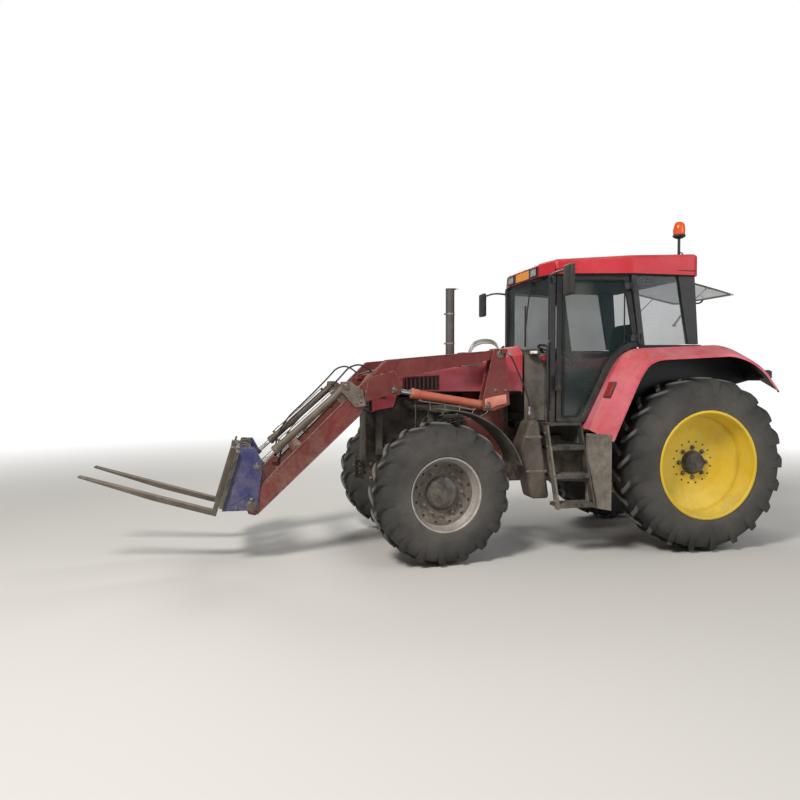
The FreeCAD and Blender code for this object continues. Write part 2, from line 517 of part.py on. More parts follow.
cowl = node(body("cab_front_wall"), "cab_front_wall")
box(cowl, "pillar_a_x", "-hood_half", "floor_z", "wall_t", "2 * hood_half", "cowl_top_z - floor_z")
box(cowl, "pillar_a_x", "-hood_half + 60", "bell_top_z + 320", "cowl_front_x - pillar_a_x",
    "2 * hood_half - 120", "cowl_top_z - bell_top_z - 360")
for near in ("hood_half", "-cab_front_half + post_w"):
    box(cowl, "pillar_a_x", near, "floor_z", "wall_t", "cab_front_half - post_w - hood_half",
        "corner_top_z - floor_z")
# Ears beside each lug of the bonnet hold its pin.
cowl_ear = (("hood_pin_x - 30", "cowl_top_z - 60"), ("hood_pin_x + 10", "cowl_top_z - 60"),
            ("hood_pin_x + hood_pin_r + 4", "hood_pin_z"), ("hood_pin_x", "hood_pin_z + hood_pin_r + 8"),
            ("hood_pin_x - 30", "hood_pin_z"))
for side in (1, -1):
    for near in ("+ hood_lug_w / 2 + run_gap", "- hood_lug_w / 2 - run_gap - plate"):
        pad(cowl, sketch(cowl, "XZ", "%d * hood_pin_y %s" % (side, near), cowl_ear), "plate")
    pad(cowl, sketch(cowl, "XZ", "%d * hood_pin_y" % side, ("circle", "hood_pin_x", "hood_pin_z",
        "hood_pin_r")), "hood_lug_w + 2 * plate", both=True)

rear_wall = node(body("cab_rear_wall"), "cab_rear_wall")
box(rear_wall, "cab_rear_x", "-wing_in + fit_gap", "floor_z", "wall_t", "2 * (wing_in - fit_gap)",
    "rear_sill_z - floor_z")


def post(name, low, top, low_z, y_at, low_w="post_w", top_w="post_w"):
    """One pillar of the cab, leaning along X from its foot to the roof."""
    made = body(name)
    pad(made, sketch(made, "XZ", y_at, (
        (low, low_z), ("%s + %s" % (low, low_w), low_z), ("%s + %s" % (top, top_w), "roof_low_z"),
        (top, "roof_low_z"))), "post_t", back=True)
    return made


posts = [
    post("pillar_a", "pillar_a_x - post_w", "pillar_a_x - post_w", "floor_z", "cab_front_half"),
    post("pillar_b", "pillar_b_low_x", "pillar_b_top_x", "wing_top_z + 12", "cab_half"),
    post("pillar_c", "pillar_c_low_x", "pillar_c_top_x", "wing_back_z", "cab_half", "pillar_c_low_w",
         "pillar_c_top_w")]

roof = node(body("cab_roof"), "cab_roof")
roof_half_plan = [("roof_rear_x", "roof_rear_half"), ("roof_rear_x + roof_rear_cut", "roof_half"),
                  ("pillar_b_top_x + post_w", "roof_half"), ("roof_corner_x", "roof_corner_half"),
                  ("roof_front_x", "roof_nose_half")]
pad(roof, sketch(roof, "XY", "roof_low_z", roof_half_plan + [(x, "-" + y) for x, y in roof_half_plan[::-1]]),
    "roof_rear_z - roof_low_z")
wedge = cut(roof, sketch(roof, "XZ", "0", (
    ("roof_rear_x - 10", "roof_rear_z"), ("roof_front_x + 10", "roof_front_z"),
    ("roof_front_x + 10", "roof_rear_z + 50"), ("roof_rear_x - 10", "roof_rear_z + 50"))),
    "2 * roof_half + 100", both=True)
doc.recompute()
soften("Chamfer", roof, wedge, edges(wedge, lambda b: b.ZMin > value("roof_front_z") - 1
       and b.ZLength < 80), "roof_soft")
pad(roof, sketch(roof, "XY", "roof_low_z + 20", ("circle", "beacon_x", "beacon_y", "beacon_seat_r")),
    "roof_rear_z - roof_low_z - 20")

windscreen = node(body("windscreen"), "windscreen")
glass_half = "cab_front_half - post_w - fit_gap"
pad(windscreen, sketch(windscreen, "YZ", "pillar_a_x - post_w / 2", (
    ("-(%s)" % glass_half, "corner_top_z"), ("-hood_half", "corner_top_z"), ("-hood_half", "cowl_top_z"),
    ("hood_half", "cowl_top_z"), ("hood_half", "corner_top_z"), (glass_half, "corner_top_z"),
    (glass_half, "roof_low_z"), ("-(%s)" % glass_half, "roof_low_z"))), "glass_t")

pane = body("side_pane")
pad(pane, sketch(pane, "XZ", "cab_half - post_t / 2", (
    ("pillar_c_low_x + pillar_c_low_w + fit_gap", "wing_back_z"), ("pillar_b_low_x - fit_gap", "wing_top_z + 16"),
    ("pillar_b_top_x - fit_gap", "roof_low_z"), ("pillar_c_top_x + pillar_c_top_w + fit_gap", "roof_low_z"))),
    "glass_t")
pair("side_windows", pane)

# The rear window is drawn hanging from its hinge and then swung open, its lugs flat on the roof.
hatch = node(body("rear_window", placed=False), "rear_window")
box(hatch, "0", "-hatch_half", "-hatch_len", "hatch_t", "2 * hatch_half", "hatch_len")
for side in (1, -1):
    pad(hatch, sketch(hatch, "XZ", "%d * hatch_lug_y" % side, (
        ("0", "0"), ("hatch_lug * cos(hatch_open)", "hatch_lug * sin(hatch_open)"),
        ("hatch_t + 4", "0"), ("hatch_t", "-hatch_lug"), ("0", "-hatch_lug"))), "hatch_lug_w", both=True)
put(hatch, "frame_x + roof_rear_x + 30", "0", "roof_low_z", (0, 1, 0), "hatch_open")

# Seat and steering

seat = node(body("driver_seat"), "driver_seat")
box(seat, "seat_x + 60", "-seat_half + 80", "floor_z", "seat_len - 120", "2 * seat_half - 160",
    "seat_z - seat_pad - floor_z")
box(seat, "seat_x", "-seat_half", "seat_z - seat_pad", "seat_len", "2 * seat_half", "seat_pad")
pad(seat, sketch(seat, "XZ", "-seat_half", (
    ("seat_x", "seat_z - seat_pad"), ("seat_x + seat_back_t", "seat_z - seat_pad"),
    ("seat_x + seat_back_t - 70", "seat_z + seat_back"), ("seat_x - 60", "seat_z + seat_back"))),
    "2 * seat_half")

column = node(body("steering_column"), "steering_column")
box(column, "console_x", "-console_half", "floor_z", "pillar_a_x - console_x", "2 * console_half",
    "console_z - floor_z")
wheel = node(body("steering_wheel", placed=False), "steering_wheel")
turn(wheel, sketch(wheel, "XZ", "0", (
    ("wheel_r - wheel_tube", "-wheel_tube"), ("wheel_r + wheel_tube", "-wheel_tube"),
    ("wheel_r + wheel_tube", "wheel_tube"), ("wheel_r - wheel_tube", "wheel_tube"))), "V_Axis")
box(wheel, "-wheel_r", "-20", "-5", "2 * wheel_r", "40", "10")
shaft_len = "(wheel_z - console_z - shaft_r * sin(wheel_tilt)) / cos(wheel_tilt)"
pad(wheel, sketch(wheel, "XY", "0", ("circle", "0", "0", "shaft_r")), shaft_len, back=True)
put(wheel, "frame_x + wheel_x + 110", "0", "wheel_z", (0, 1, 0), "-wheel_tilt")

# Rear mudguards with their flaps

wing_line = [("wing_low_x", "wing_low_z"), ("wing_front_x", "wing_front_z"), ("wing_top_x", "wing_top_z"),
             ("wing_back_x", "wing_back_z"), ("wing_turn_x", "wing_turn_z"), ("wing_end_x", "wing_end_z")]
wing_under = [("wing_low_x - wing_t", "wing_low_z"), ("wing_front_x - wing_t", "wing_front_z - wing_t / 2"),
              ("wing_top_x - wing_t / 2", "wing_top_z - wing_t"), ("wing_back_x + 4", "wing_back_z - wing_t"),
              ("wing_turn_x + wing_t / 2", "wing_turn_z - wing_t"), ("wing_end_x + wing_t", "wing_end_z")]
# How far the round of each corner reaches along its two sides, as parts of the sides
wing_round = {1: (0.3, 0.5), 2: (0.5, 0.12), 3: (0.12, 0.5), 4: (0.5, 0.5)}


def rounded(corners, reach):
    """An open outline with some of its corners turned into short runs that curve."""
    made = []
    for number, (x, z) in enumerate(corners):
        if number not in reach:
            made.append((x, z))
            continue
        (from_x, from_z), (to_x, to_z) = corners[number - 1], corners[(number + 1) % len(corners)]
        into, out = reach[number]
        for t in (0.125, 0.375, 0.625, 0.875):
            before, after = into * (1 - t) ** 2, out * t ** 2
            made.append(("(%s) + %g * (%s - (%s)) + %g * (%s - (%s))" % (x, before, from_x, x, after, to_x, x),
                         "(%s) + %g * (%s - (%s)) + %g * (%s - (%s))" % (z, before, from_z, z, after, to_z, z)))
    return made


def fallen(corners):
    """The same outline lower down, its front further back."""
    return [(x + " - wing_back" if number < 3 else x, z + " - wing_drop")
            for number, (x, z) in enumerate(corners)]


wing_ring = rounded(wing_line, wing_round) + rounded(wing_under, wing_round)[::-1]
# Outboard of the cab the plate falls away, so that the door can swing over it.
wing_fall = rounded(fallen(wing_line), wing_round) + rounded(fallen(wing_under), wing_round)[::-1]
wing = body("rear_wing")
pad(wing, sketch(wing, "XZ", "wing_in", wing_ring), "cab_half - wing_in")
spread = wing.newObject("PartDesign::AdditiveLoft", "wing_spread")
spread.Profile = sketch(wing, "XZ", "cab_half", wing_ring)
spread.Sections = [sketch(wing, "XZ", "wing_out", wing_fall)]
spread.Ruled = True
pad(wing, sketch(wing, "XZ", "wing_in", rounded(wing_line, wing_round)), "wing_t")
pair("rear_fenders", wing)

flap = body("wing_flap")
flap_x, flap_tip = "wing_low_x + fit_gap", "wing_low_x + fit_gap - wing_back"
pad(flap, sketch(flap, "XY", "flap_z", (
    (flap_x + " + flap_t", "flap_in"), (flap_x + " + flap_t", "cab_half"), (flap_tip + " + flap_t", "wing_out"),
    (flap_tip, "wing_out"), (flap_x, "cab_half"), (flap_x, "flap_in"))),
    "wing_low_z - wing_drop - flap_z + flap_lap")
pair("fender_flaps", flap)

# Tanks and steps

tank = body("tank")
pad(tank, sketch(tank, "XZ", "tank_in", (
    ("tank_low_x", "tank_z"), ("tank_low_x + tank_low_len", "tank_z"), ("tank_bulge_x", "tank_bulge_z"),
    ("tank_neck_x + tank_neck", "tank_top_z"), ("tank_neck_x", "tank_top_z"))), "tank_w")
pad(tank, sketch(tank, "XY", "tank_top_z", ("circle", "boom_x - 280", "boom_y + hose_out + 20", "neck_r")),
    "neck_h")
box(tank, "tank_arm_x", "chassis_half", "tank_arm_z", "tank_arm", "tank_in - chassis_half", "tank_arm")
pair("fuel_tanks", tank)

steps_body = body("steps")
floor_low = "(floor_z - floor_t)"
for x in ("step_x", "step_x + step_len - rail_t"):
    pad(steps_body, sketch(steps_body, "YZ", x, (
        ("step_out - rail_h", "step_low_z"), ("step_out", "step_low_z"), ("step_in + rail_h", floor_low),
        ("step_in", floor_low))), "rail_t")
for level in range(3):
    lean = "(step_out - step_in - rail_h) * %d * step_gap / (%s - step_low_z)" % (level, floor_low)
    box(steps_body, "step_x", "step_out - step_deep - %s" % lean, "step_low_z + %d * step_gap" % level,
        "step_len", "step_deep", "step_t")
# The front rail hangs from a bracket before the cab's floor.
box(steps_body, "pillar_a_x", "step_in - rail_h", floor_low, "step_x + step_len - pillar_a_x",
    "2 * rail_h", "floor_t")
pair("cab_steps", steps_body)

# Hoses

def hose(label, *route):
    """A tube along straight runs, with an arc at each point between them that is tangent to both."""
    spots = [FreeCAD.Vector(*[value(text) for text in spot]) for spot in route]
    pieces, last, radii = [], spots[0], []
    for before, here, after in zip(spots, spots[1:], spots[2:]):
        back, ahead = before - here, after - here
        reach = 0.45 * min(back.Length, ahead.Length)
        radii.append(reach / math.tan((math.pi - back.getAngle(ahead)) / 2))
        start, end = here + back.normalize() * reach, here + ahead.normalize() * reach
        # The arc's middle lies on the line that halves the corner.
        half = (math.pi - back.getAngle(ahead)) / 2
        inward = (back + ahead).normalize()
        middle = here + inward * (radii[-1] / math.cos(half) - radii[-1])
        pieces += [Part.makeLine(last, start), Part.Arc(start, middle, end).toShape()]
        last = end
    pieces.append(Part.makeLine(last, spots[-1]))
    wire = Part.Wire(pieces)
    ring = Part.Wire([Part.makeCircle(value("hose_r"), spots[0], spots[1] - spots[0])])
    made = doc.addObject("Part::Feature", label)
    made.Shape = wire.makePipeShell([ring], True, False)
    print(label, "radii", [round(r) for r in radii], "volume to section by length",
          round(made.Shape.Volume / (math.pi * value("hose_r") ** 2 * wire.Length), 4))
    return made


# Loader masts on the sides of the chassis

mast = body("mast")
mast_plate = (("boom_x - 60", "boom_z - 20"), ("boom_x - 55", "boom_z + 55"), ("boom_x + 60", "boom_z + 55"),
              ("boom_x + 75", "boom_z"), ("lift_base_x + 55", "lift_base_z + 40"),
              ("lift_base_x + 45", "mast_low_z - 10"), ("lift_base_x - 60", "mast_low_z - 10"),
              ("foot_x - 20", "mast_low_z + 45"))
arm_gap = "(arm_w / 2 + move_gap)"
for start, back in (("boom_y + " + arm_gap, False), ("boom_y - " + arm_gap, True)):
    pad(mast, sketch(mast, "XZ", start, mast_plate), "plate", back=back)
    if not back:
        for x, z, r in (("boom_x", "boom_z", "boom_pin_r"), ("lift_base_x", "lift_base_z", "pin_r")):
            pad(mast, sketch(mast, "XZ", "boom_y", ("circle", x, z, r)), "2 * (%s + plate + pin_end)" % arm_gap,
                both=True)
box(mast, "foot_x", "mast_foot_in + side_plate_t", "mast_low_z + 40", "foot_len",
    "boom_y - arm_w / 2 - move_gap - mast_foot_in - side_plate_t", "foot_h")
box(mast, "side_plate_x", "mast_foot_in", "side_plate_z", "side_plate_len", "side_plate_t",
    "mast_low_z + 40 + foot_h - side_plate_z")
box(mast, "boom_x - port_len", "boom_y + %s + plate" % arm_gap, "boom_z + 10", "port_len", "port_w", "port_w")
pair("loader_masts", mast)

# The oil hose hangs from the mast's port to the neck on the tank.
mast_hose_y = "boom_y + hose_out"
group("mast_hose", hose("mast_hose_tube", *[("frame_x + boom_x + " + x, mast_hose_y + " + " + y, "boom_z + " + z)
      for x, y, z in (("-20", "0", "32"), ("-96", "0", "-4"), ("-172", "6", "-165"), ("-240", "14", "-325"),
                      ("-280", "20", "-450"), ("-280", "20", "-565"))]))

# Boom arms and cross tube


def pin_heads(of_body, y, half, x, z):
    """The two ends of a cylinder's pin, outside of the plates that hold it."""
    for side, back in ((1, False), (-1, True)):
        pad(of_body, sketch(of_body, "XZ", "%s + %d * (%s)" % (y, side, half), ("circle", x, z, "pin_r")),
            "pin_end", back=back)


arm = body("boom_arm")
arm_outline = (("boom_x - 45", "boom_z + 45"), ("elbow_x", "elbow_z"), ("knee_x", "knee_z"),
               ("arm_end_x", "arm_end_z"), ("head_x + arm_tip * 0.8", "head_z + 20"),
               ("head_x + 25", "head_z - arm_tip"), ("head_x - 35", "head_z - arm_tip * 1.2"),
               ("arm_low_x", "arm_low_z"), ("arm_belly_x", "arm_belly_z"), ("arm_notch_x", "arm_notch_z"),
               ("boom_x + 80", "arm_rear_z"), ("boom_x - 45", "boom_z - 40"))
pad(arm, sketch(arm, "XZ", "boom_y", arm_outline), "arm_w", both=True)
# Two clevis plates under the elbow take the lift cylinder's eye, two over it the crowd cylinder's foot.
clevis = (("lift_eye_x - 45", "lift_eye_z - 45"), ("lift_eye_x + 60", "lift_eye_z - 50"),
          ("arm_low_x - 30", "arm_low_z + 110"), ("arm_belly_x + 60", "arm_belly_z + 60"),
          ("lift_eye_x", "lift_eye_z + 180"), ("lift_eye_x - 80", "lift_eye_z + 60"))
bracket = (("arm_low_x - 45", "arm_low_z + 75"), ("arm_low_x + 50", "arm_low_z + 60"),
           ("crowd_x + 55", "crowd_z - 40"), ("crowd_x + 40", "crowd_z + 42"),
           ("crowd_x - 35", "crowd_z + 45"), ("arm_low_x - 20", "crowd_z - 40"))
for outline in (clevis, bracket):
    for start, back in (("boom_y + arm_w / 2", False), ("boom_y - arm_w / 2", True)):
        pad(arm, sketch(arm, "XZ", start, outline), "plate", back=back)
pad(arm, sketch(arm, "XZ", "boom_y", ("circle", "crowd_x", "crowd_z", "pin_r")),
    "arm_w + 2 * plate + 2 * pin_end", both=True)
pin_heads(arm, "boom_y", "arm_w / 2 + plate", "lift_eye_x", "lift_eye_z")
# The ports that take the crowd hose: behind the elbow, and above the arm's end.
for x, z in (("crowd_x - 312", "crowd_z + 65"), ("crowd_x + 574", "crowd_z - 785")):
    box(arm, x, "boom_y - arm_w / 2 - port_w", z, "port_len", "port_w", "port_len")
for x, z, r in (("boom_x", "boom_z", "boom_pin_r"), ("head_x", "head_z", "head_pin_r")):
    cut(arm, sketch(arm, "XZ", "boom_y", ("circle", x, z, r + " + fit_gap")), "2 * arm_w", both=True)
pair("boom_arms", arm)

crowd_hose = hose("crowd_hose", *[("frame_x + crowd_x + " + x, "boom_y - hose_in", "crowd_z + " + z) for x, z in (
    ("-285", "95"), ("-220", "165"), ("-135", "205"), ("-40", "178"), ("45", "82"), ("164", "-41"),
    ("307", "-182"), ("454", "-317"), ("545", "-455"), ("592", "-605"), ("604", "-755"))])
pair("crowd_hoses", crowd_hose)

cross = node(body("boom_cross_tube"), "boom_cross_tube")
pad(cross, sketch(cross, "XZ", "0", ("circle", "cross_x", "cross_z", "cross_r")),
    "2 * (boom_y - arm_w / 2)", both=True)


# Cylinders, drawn along X from the foot pin and then turned to their line

def cylinder(name, foot_x, foot_z, eye_x, eye_z):
    """The barrels and the rods of one pair of cylinders."""
    part = lambda word: name + "_" + word
    run_x, run_z = "(%s - %s)" % (eye_x, foot_x), "(%s - %s)" % (eye_z, foot_z)
    reach = "sqrt(%s ^ 2 + %s ^ 2)" % (run_x, run_z)
    lean = "-atan2(%s; %s)" % (run_z, run_x)
    barrel = body(part("barrel"), placed=False)
    pad(barrel, sketch(barrel, "XZ", "0", ("circle", "0", "0", "eye_r")), "eye_w", both=True)
    pad(barrel, sketch(barrel, "YZ", "0", ("circle", "0", "0", part("barrel_r"))), part("barrel_end"))
    cut(barrel, sketch(barrel, "XZ", "0", ("circle", "0", "0", "pin_r + fit_gap")), "4 * eye_w", both=True)
    cut(barrel, sketch(barrel, "YZ", part("barrel_end"), ("circle", "0", "0", part("rod_r") + " + fit_gap")),
        "%s - bore_in" % part("barrel_end"), back=True)
    rod = body(part("rod"), placed=False)
    pad(rod, sketch(rod, "YZ", part("rod_in"), ("circle", "0", "0", part("rod_r"))),
        "%s - %s" % (reach, part("rod_in")))
    pad(rod, sketch(rod, "XZ", "0", ("circle", reach, "0", "eye_r")), "eye_w", both=True)
    cut(rod, sketch(rod, "XZ", "0", ("circle", reach, "0", "pin_r + fit_gap")), "4 * eye_w", both=True)
    for source, label in ((barrel, part("barrels")), (rod, part("rods"))):
        put(source, "frame_x + " + foot_x, "boom_y", foot_z, (0, 1, 0), lean)
        pair(label, source)


cylinder("lift", "lift_base_x", "lift_base_z", "lift_eye_x", "lift_eye_z")
cylinder("crowd", "crowd_x", "crowd_z", "crowd_eye_x", "crowd_eye_z")

# Quick hitch on the boom's head pins

def fork_back(z):
    """Where the tilted fork frame's back stands at a height."""
    return "(heel_x - (%s - heel_z) * tan(fork_tilt) - (tine_t + fork_bar_t) / cos(fork_tilt))" % z


hitch = node(body("quick_hitch"), "quick_hitch")
hitch_plate = (("head_x - 60", "hitch_low_z"), ("head_x - 60", "head_z + 60"),
               ("hitch_back_x", "crowd_eye_z - 60"), ("hitch_back_x", "crowd_eye_z + 60"),
               ("hitch_back_x + 60", "hitch_top_z"), (fork_back("hitch_top_z"), "hitch_top_z"),
               (fork_back("hitch_low_z"), "hitch_low_z"))
for side in (1, -1):
    for edge, back in ((arm_gap, False), ("-" + arm_gap, True)):
        pad(hitch, sketch(hitch, "XZ", "%d * boom_y + %s" % (side, edge), hitch_plate), "plate", back=back)
    pad(hitch, sketch(hitch, "XZ", "%d * boom_y" % side, ("circle", "head_x", "head_z", "head_pin_r")),
        "2 * (%s + plate + pin_end)" % arm_gap, both=True)
    pin_heads(hitch, "%d * boom_y" % side, arm_gap + " + plate", "crowd_eye_x", "crowd_eye_z")
for z in ("hitch_tube_top_z", "hitch_tube_low_z"):
    pad(hitch, sketch(hitch, "XZ", "0", ("circle", fork_back(z) + " - hitch_tube_in", z, "hitch_tube_r")),
        "2 * (boom_y + %s + plate)" % arm_gap, both=True)

# Pallet forks and their frame, drawn square from the heel and tilted back

frame = node(body("fork_frame", placed=False), "fork_frame")
bar_x = "-tine_t - fork_bar_t"
for z in ("fork_low", "shank_len - fork_bar"):
    box(frame, bar_x, "-fork_half", z, "fork_bar_t", "2 * fork_half", "fork_bar")
for y in ("-fork_half", "-boom_y - fork_rib_t / 2", "-fork_rib_t / 2", "boom_y - fork_rib_t / 2",
          "fork_half - fork_rib_t"):
    box(frame, bar_x, y, "fork_low", "fork_bar_t", "fork_rib_t", "shank_len - fork_low")
put(frame, "frame_x + heel_x", "0", "heel_z", (0, 1, 0), "-fork_tilt")

tine = body("tine", placed=False)
pad(tine, sketch(tine, "XZ", "tine_y - tine_w / 2", (
    ("-tine_t", "-tine_t"), ("tine_len * 0.45", "-tine_t"), ("tine_len", "-tine_nose"), ("tine_len", "0"),
    ("0", "0"), ("0", "shank_len"), ("-tine_t", "shank_len"))), "tine_w")
put(tine, "frame_x + heel_x", "0", "heel_z", (0, 1, 0), "-fork_tilt")
pair("fork_tines", tine)

# Cab doors, drawn flat about their hinge line and then set in the cab's side

door_turn = "atan2(cab_half - cab_front_half; pillar_a_x - pillar_b_x)"


def along(x):
    """How far along the door's own line a place along the machine lies from the pillar."""
    return "(%s - pillar_b_x) / cos(%s)" % (x, door_turn)


post_foot = "(wing_top_z + 12)"
steep = "(wing_low_x - wing_front_x) / (wing_front_z - wing_low_z)"
# The frame's inner edge lies nearer the slanted pillar than its outer one.
rear_gap = "door_gap + door_in * sin(%s)" % door_turn
# Columns: place along the door, height, and how far the window's corner stands in along both.
door_line = (
    (along("pillar_b_top_x + post_w") + " + " + rear_gap, "roof_low_z - door_gap", 1, -1),
    (along("pillar_a_x - post_w") + " - door_gap", "roof_low_z - door_gap", -1, -1),
    (along("pillar_a_x - post_w") + " - door_gap", "floor_z + door_gap", -1, 1),
    (along("(wing_low_x - (floor_z + door_gap - wing_low_z) * %s)" % steep) + " + wing_gap",
     "floor_z + door_gap", 0.7, 1),
    (along("wing_front_x") + " + wing_gap", "wing_front_z + door_gap", 1, 0.6),
    (along("wing_top_x") + " + door_gap", "wing_top_z + wing_gap", 0.5, 1),
    (along("pillar_b_low_x + post_w") + " + " + rear_gap, "wing_top_z + wing_gap", 1, 1))
door_round = {4: (0.3, 0.5), 5: (0.5, 0.8)}
door_edge = rounded([(s, z) for s, z, in_s, in_z in door_line], door_round)
window_edge = rounded([("%s + %g * door_frame" % (s, in_s), "%s + %g * door_frame" % (z, in_z))
                       for s, z, in_s, in_z in door_line], door_round)
panel = body("door_panel", placed=False)
pad(panel, sketch(panel, "XZ", "-door_in", door_edge, window_edge), "door_t")
pane = body("door_pane", placed=False)
pad(pane, sketch(pane, "XZ", "-door_in + (door_t - glass_t) / 2", window_edge), "glass_t")
for made in (panel, pane):
    put(made, "frame_x + pillar_b_x", "cab_half", "0", (0, 0, 1), "-" + door_turn)

# Hinge barrels stand on the pillar's slanted line: the door's between the pillar's two.
hinge_lean = "atan2(pillar_b_top_x - pillar_b_low_x; roof_low_z - %s)" % post_foot
leaf, ears = body("door_hinge", placed=False), body("pillar_hinge", placed=False)
for at in ("hinge_low", "hinge_high"):
    pad(leaf, sketch(leaf, "XY", at, ("circle", "0", "0", "hinge_r")), "hinge_len")
    box(leaf, "0", "-hinge_r - 22", at, "70", "20", "hinge_len")
    box(leaf, "0", "-hinge_r - 4", at, "hinge_r", "8", "hinge_len")
    for end in ("%s - hinge_len / 2 - run_gap" % at, "%s + hinge_len + run_gap" % at):
        pad(ears, sketch(ears, "XY", end, ("circle", "0", "0", "hinge_r")), "hinge_len / 2")
        box(ears, "-hinge_r - 34", "-hinge_out", end, "hinge_r + 34", "hinge_out - 2", "hinge_len / 2")
for made in (leaf, ears):
    put(made, "frame_x + pillar_b_low_x + post_w + hinge_off", "cab_half + hinge_out", post_foot,
        (0, 1, 0), hinge_lean)


def fused(name, *sources):
    """Solids that are one piece."""
    made = doc.addObject("Part::MultiFuse", name)
    made.Shapes = list(sources)
    return made


door = fused("door", panel, leaf)
posts[1] = fused("pillar_b_hinged", posts[1], ears)
group("cab_pillars", *(posts + [mirror(p) for p in posts]))
group("door_frame_left", door)
group("door_frame_right", mirror(door))
group("door_glass_left", pane)
group("door_glass_right", mirror(pane))

# Mirrors, lamps and beacon

mirror_body = body("mirror")
arm_z = "(mirror_z + mirror_h)"
pad(mirror_body, sketch(mirror_body, "XZ", "cab_front_half", ("circle", "mirror_x", arm_z, "mirror_arm_r")),
    "mirror_y - cab_front_half")
box(mirror_body, "pillar_a_x", "cab_front_half - post_t", arm_z + " - 30",
    "mirror_x - pillar_a_x + mirror_arm_r", "post_t", "60")
box(mirror_body, "mirror_x - mirror_t / 2", "mirror_y - mirror_w / 2", "mirror_z", "mirror_t", "mirror_w",
    "mirror_h + 40")
pair("mirrors", mirror_body)

lamp_mid = "(roof_low_z + roof_front_z - roof_soft) / 2"
lamp = body("roof_lamp")
box(lamp, "roof_front_x", "lamp_y - lamp_half", lamp_mid + " - lamp_h / 2", "lamp_t", "2 * lamp_half",
    "lamp_h")
amber = body("amber_plate")
box(amber, "roof_front_x", "-amber_half", lamp_mid + " - lamp_h / 2 - 5", "lamp_t / 2",
    "2 * amber_half", "lamp_h + 10")
group("roof_lamps", lamp, mirror(lamp), amber)

beacon = node(body("beacon"), "beacon")
pad(beacon, sketch(beacon, "XY", "roof_rear_z", ("circle", "beacon_x", "beacon_y", "beacon_stalk_r")),
    "beacon_z - roof_rear_z")
pad(beacon, sketch(beacon, "XY", "beacon_z", ("circle", "beacon_x", "beacon_y", "beacon_r")),
    "beacon_top_z - beacon_z")

# Rear linkage and drawbar

link = body("lower_link")
pad(link, sketch(link, "XY", "link_z - link_half_z", (
    ("link_x", "link_y - link_t / 2"), ("link_end_x", "link_end_y - link_t / 2"),
    ("link_end_x", "link_end_y + link_t / 2"), ("link_x", "link_y + link_t / 2"))), "2 * link_half_z")
for x, y, bore in (("link_x", "link_y", "pin_r + fit_gap"), ("link_end_x", "link_end_y", "ball_bore")):
    pad(link, sketch(link, "XZ", y, ("circle", x, "link_z", "ball_r")), "ball_w", both=True)
    cut(link, sketch(link, "XZ", y, ("circle", x, "link_z", bore)), "4 * ball_w", both=True)

# The lift link hangs outside of the lower link, on pins at both of its ends.
rod_x = "(rocker_x - rocker_len)"
rod_y = "(link_y + (%s - link_x) / (link_end_x - link_x) * (link_end_y - link_y))" % rod_x
eye_y = "(%s + rod_side)" % rod_y
cut(link, sketch(link, "XZ", rod_y, ("circle", rod_x, "link_z", "rod_pin_r + fit_gap")), "4 * link_t",
    both=True)
pair("lower_links", link)
rod = body("lift_link")
pad(rod, sketch(rod, "XY", "link_z", ("circle", rod_x, eye_y, "rod_r")), "rocker_z - link_z")
for z, pin_len in (("link_z", "rod_side + link_t"), ("rocker_z", "rod_side - rocker_t / 2 - fit_gap")):
    pad(rod, sketch(rod, "XZ", eye_y, ("circle", rod_x, z, "rod_eye_r")), "rod_eye_w", both=True)
    pad(rod, sketch(rod, "XZ", eye_y, ("circle", rod_x, z, "rod_pin_r")), pin_len, back=True)
pair("lift_links", rod)

rocker = node(body("rocker_arms"), "rocker_arms")
pad(rocker, sketch(rocker, "XZ", "0", ("circle", "rocker_x", "rocker_z", "rocker_r")),
    "2 * (%s + rocker_t / 2)" % rod_y, both=True)
for side in (1, -1):
    middle = "%d * %s" % (side, rod_y)
    pad(rocker, sketch(rocker, "XZ", middle, (
        ("rocker_x", "rocker_z - rocker_r"), ("rocker_x", "rocker_z + rocker_r"),
        (rod_x, "rocker_z + rocker_end_r"), (rod_x, "rocker_z - rocker_end_r"))), "rocker_t", both=True)
    pad(rocker, sketch(rocker, "XZ", middle, ("circle", rod_x, "rocker_z", "rocker_end_r")), "rocker_t",
        both=True)
    cut(rocker, sketch(rocker, "XZ", middle, ("circle", rod_x, "rocker_z", "rod_pin_r + fit_gap")),
        "2 * rocker_t", both=True)

drawbar = node(body("drawbar"), "drawbar")
box(drawbar, "draw_end_x", "-draw_half", "draw_z", "gearbox_rear_x + 500 - draw_end_x", "2 * draw_half",
    "draw_t")
box(drawbar, "gearbox_rear_x + 60", "-draw_half - 20", "draw_z + draw_t", "160", "2 * draw_half + 40",
    "gearbox_low_z - draw_z - draw_t")
cut(drawbar, sketch(drawbar, "XY", "draw_z", ("circle", "draw_end_x + 50", "0", "draw_bore")),
    "4 * draw_t", both=True)

doc.recompute()

# Every object has to be sound before anything is written

faults = [thing.Label for thing in doc.Objects if "Invalid" in thing.State or "Error" in thing.State]
faults += [n.Label for n in NODES if n.Shape.isNull() or not n.Shape.isValid() or not n.Shape.Solids]
if faults:
    raise SystemExit("failed: " + ", ".join(faults))
os.makedirs("parts", exist_ok=True)
for made in NODES:
    made.Shape.exportStep(os.path.join("parts", made.Label + ".step"))
low = FreeCAD.BoundBox()
for made in NODES:
    low.add(made.Shape.BoundBox)
print(len(NODES), "nodes,", low)
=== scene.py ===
# %% [markdown]
# Farm tractor with a front loader and pallet forks, dressed for rendering.
# The solids come from the CAD model and keep their places. This script gives them their paint, dirt and
# wear, and adds what a solid model leaves out: rounded tyres, dished rims, nuts, pipes, seals and lamps.

# %% Load the frame
import math

import bmesh
import bpy
from mathutils import Matrix, Vector


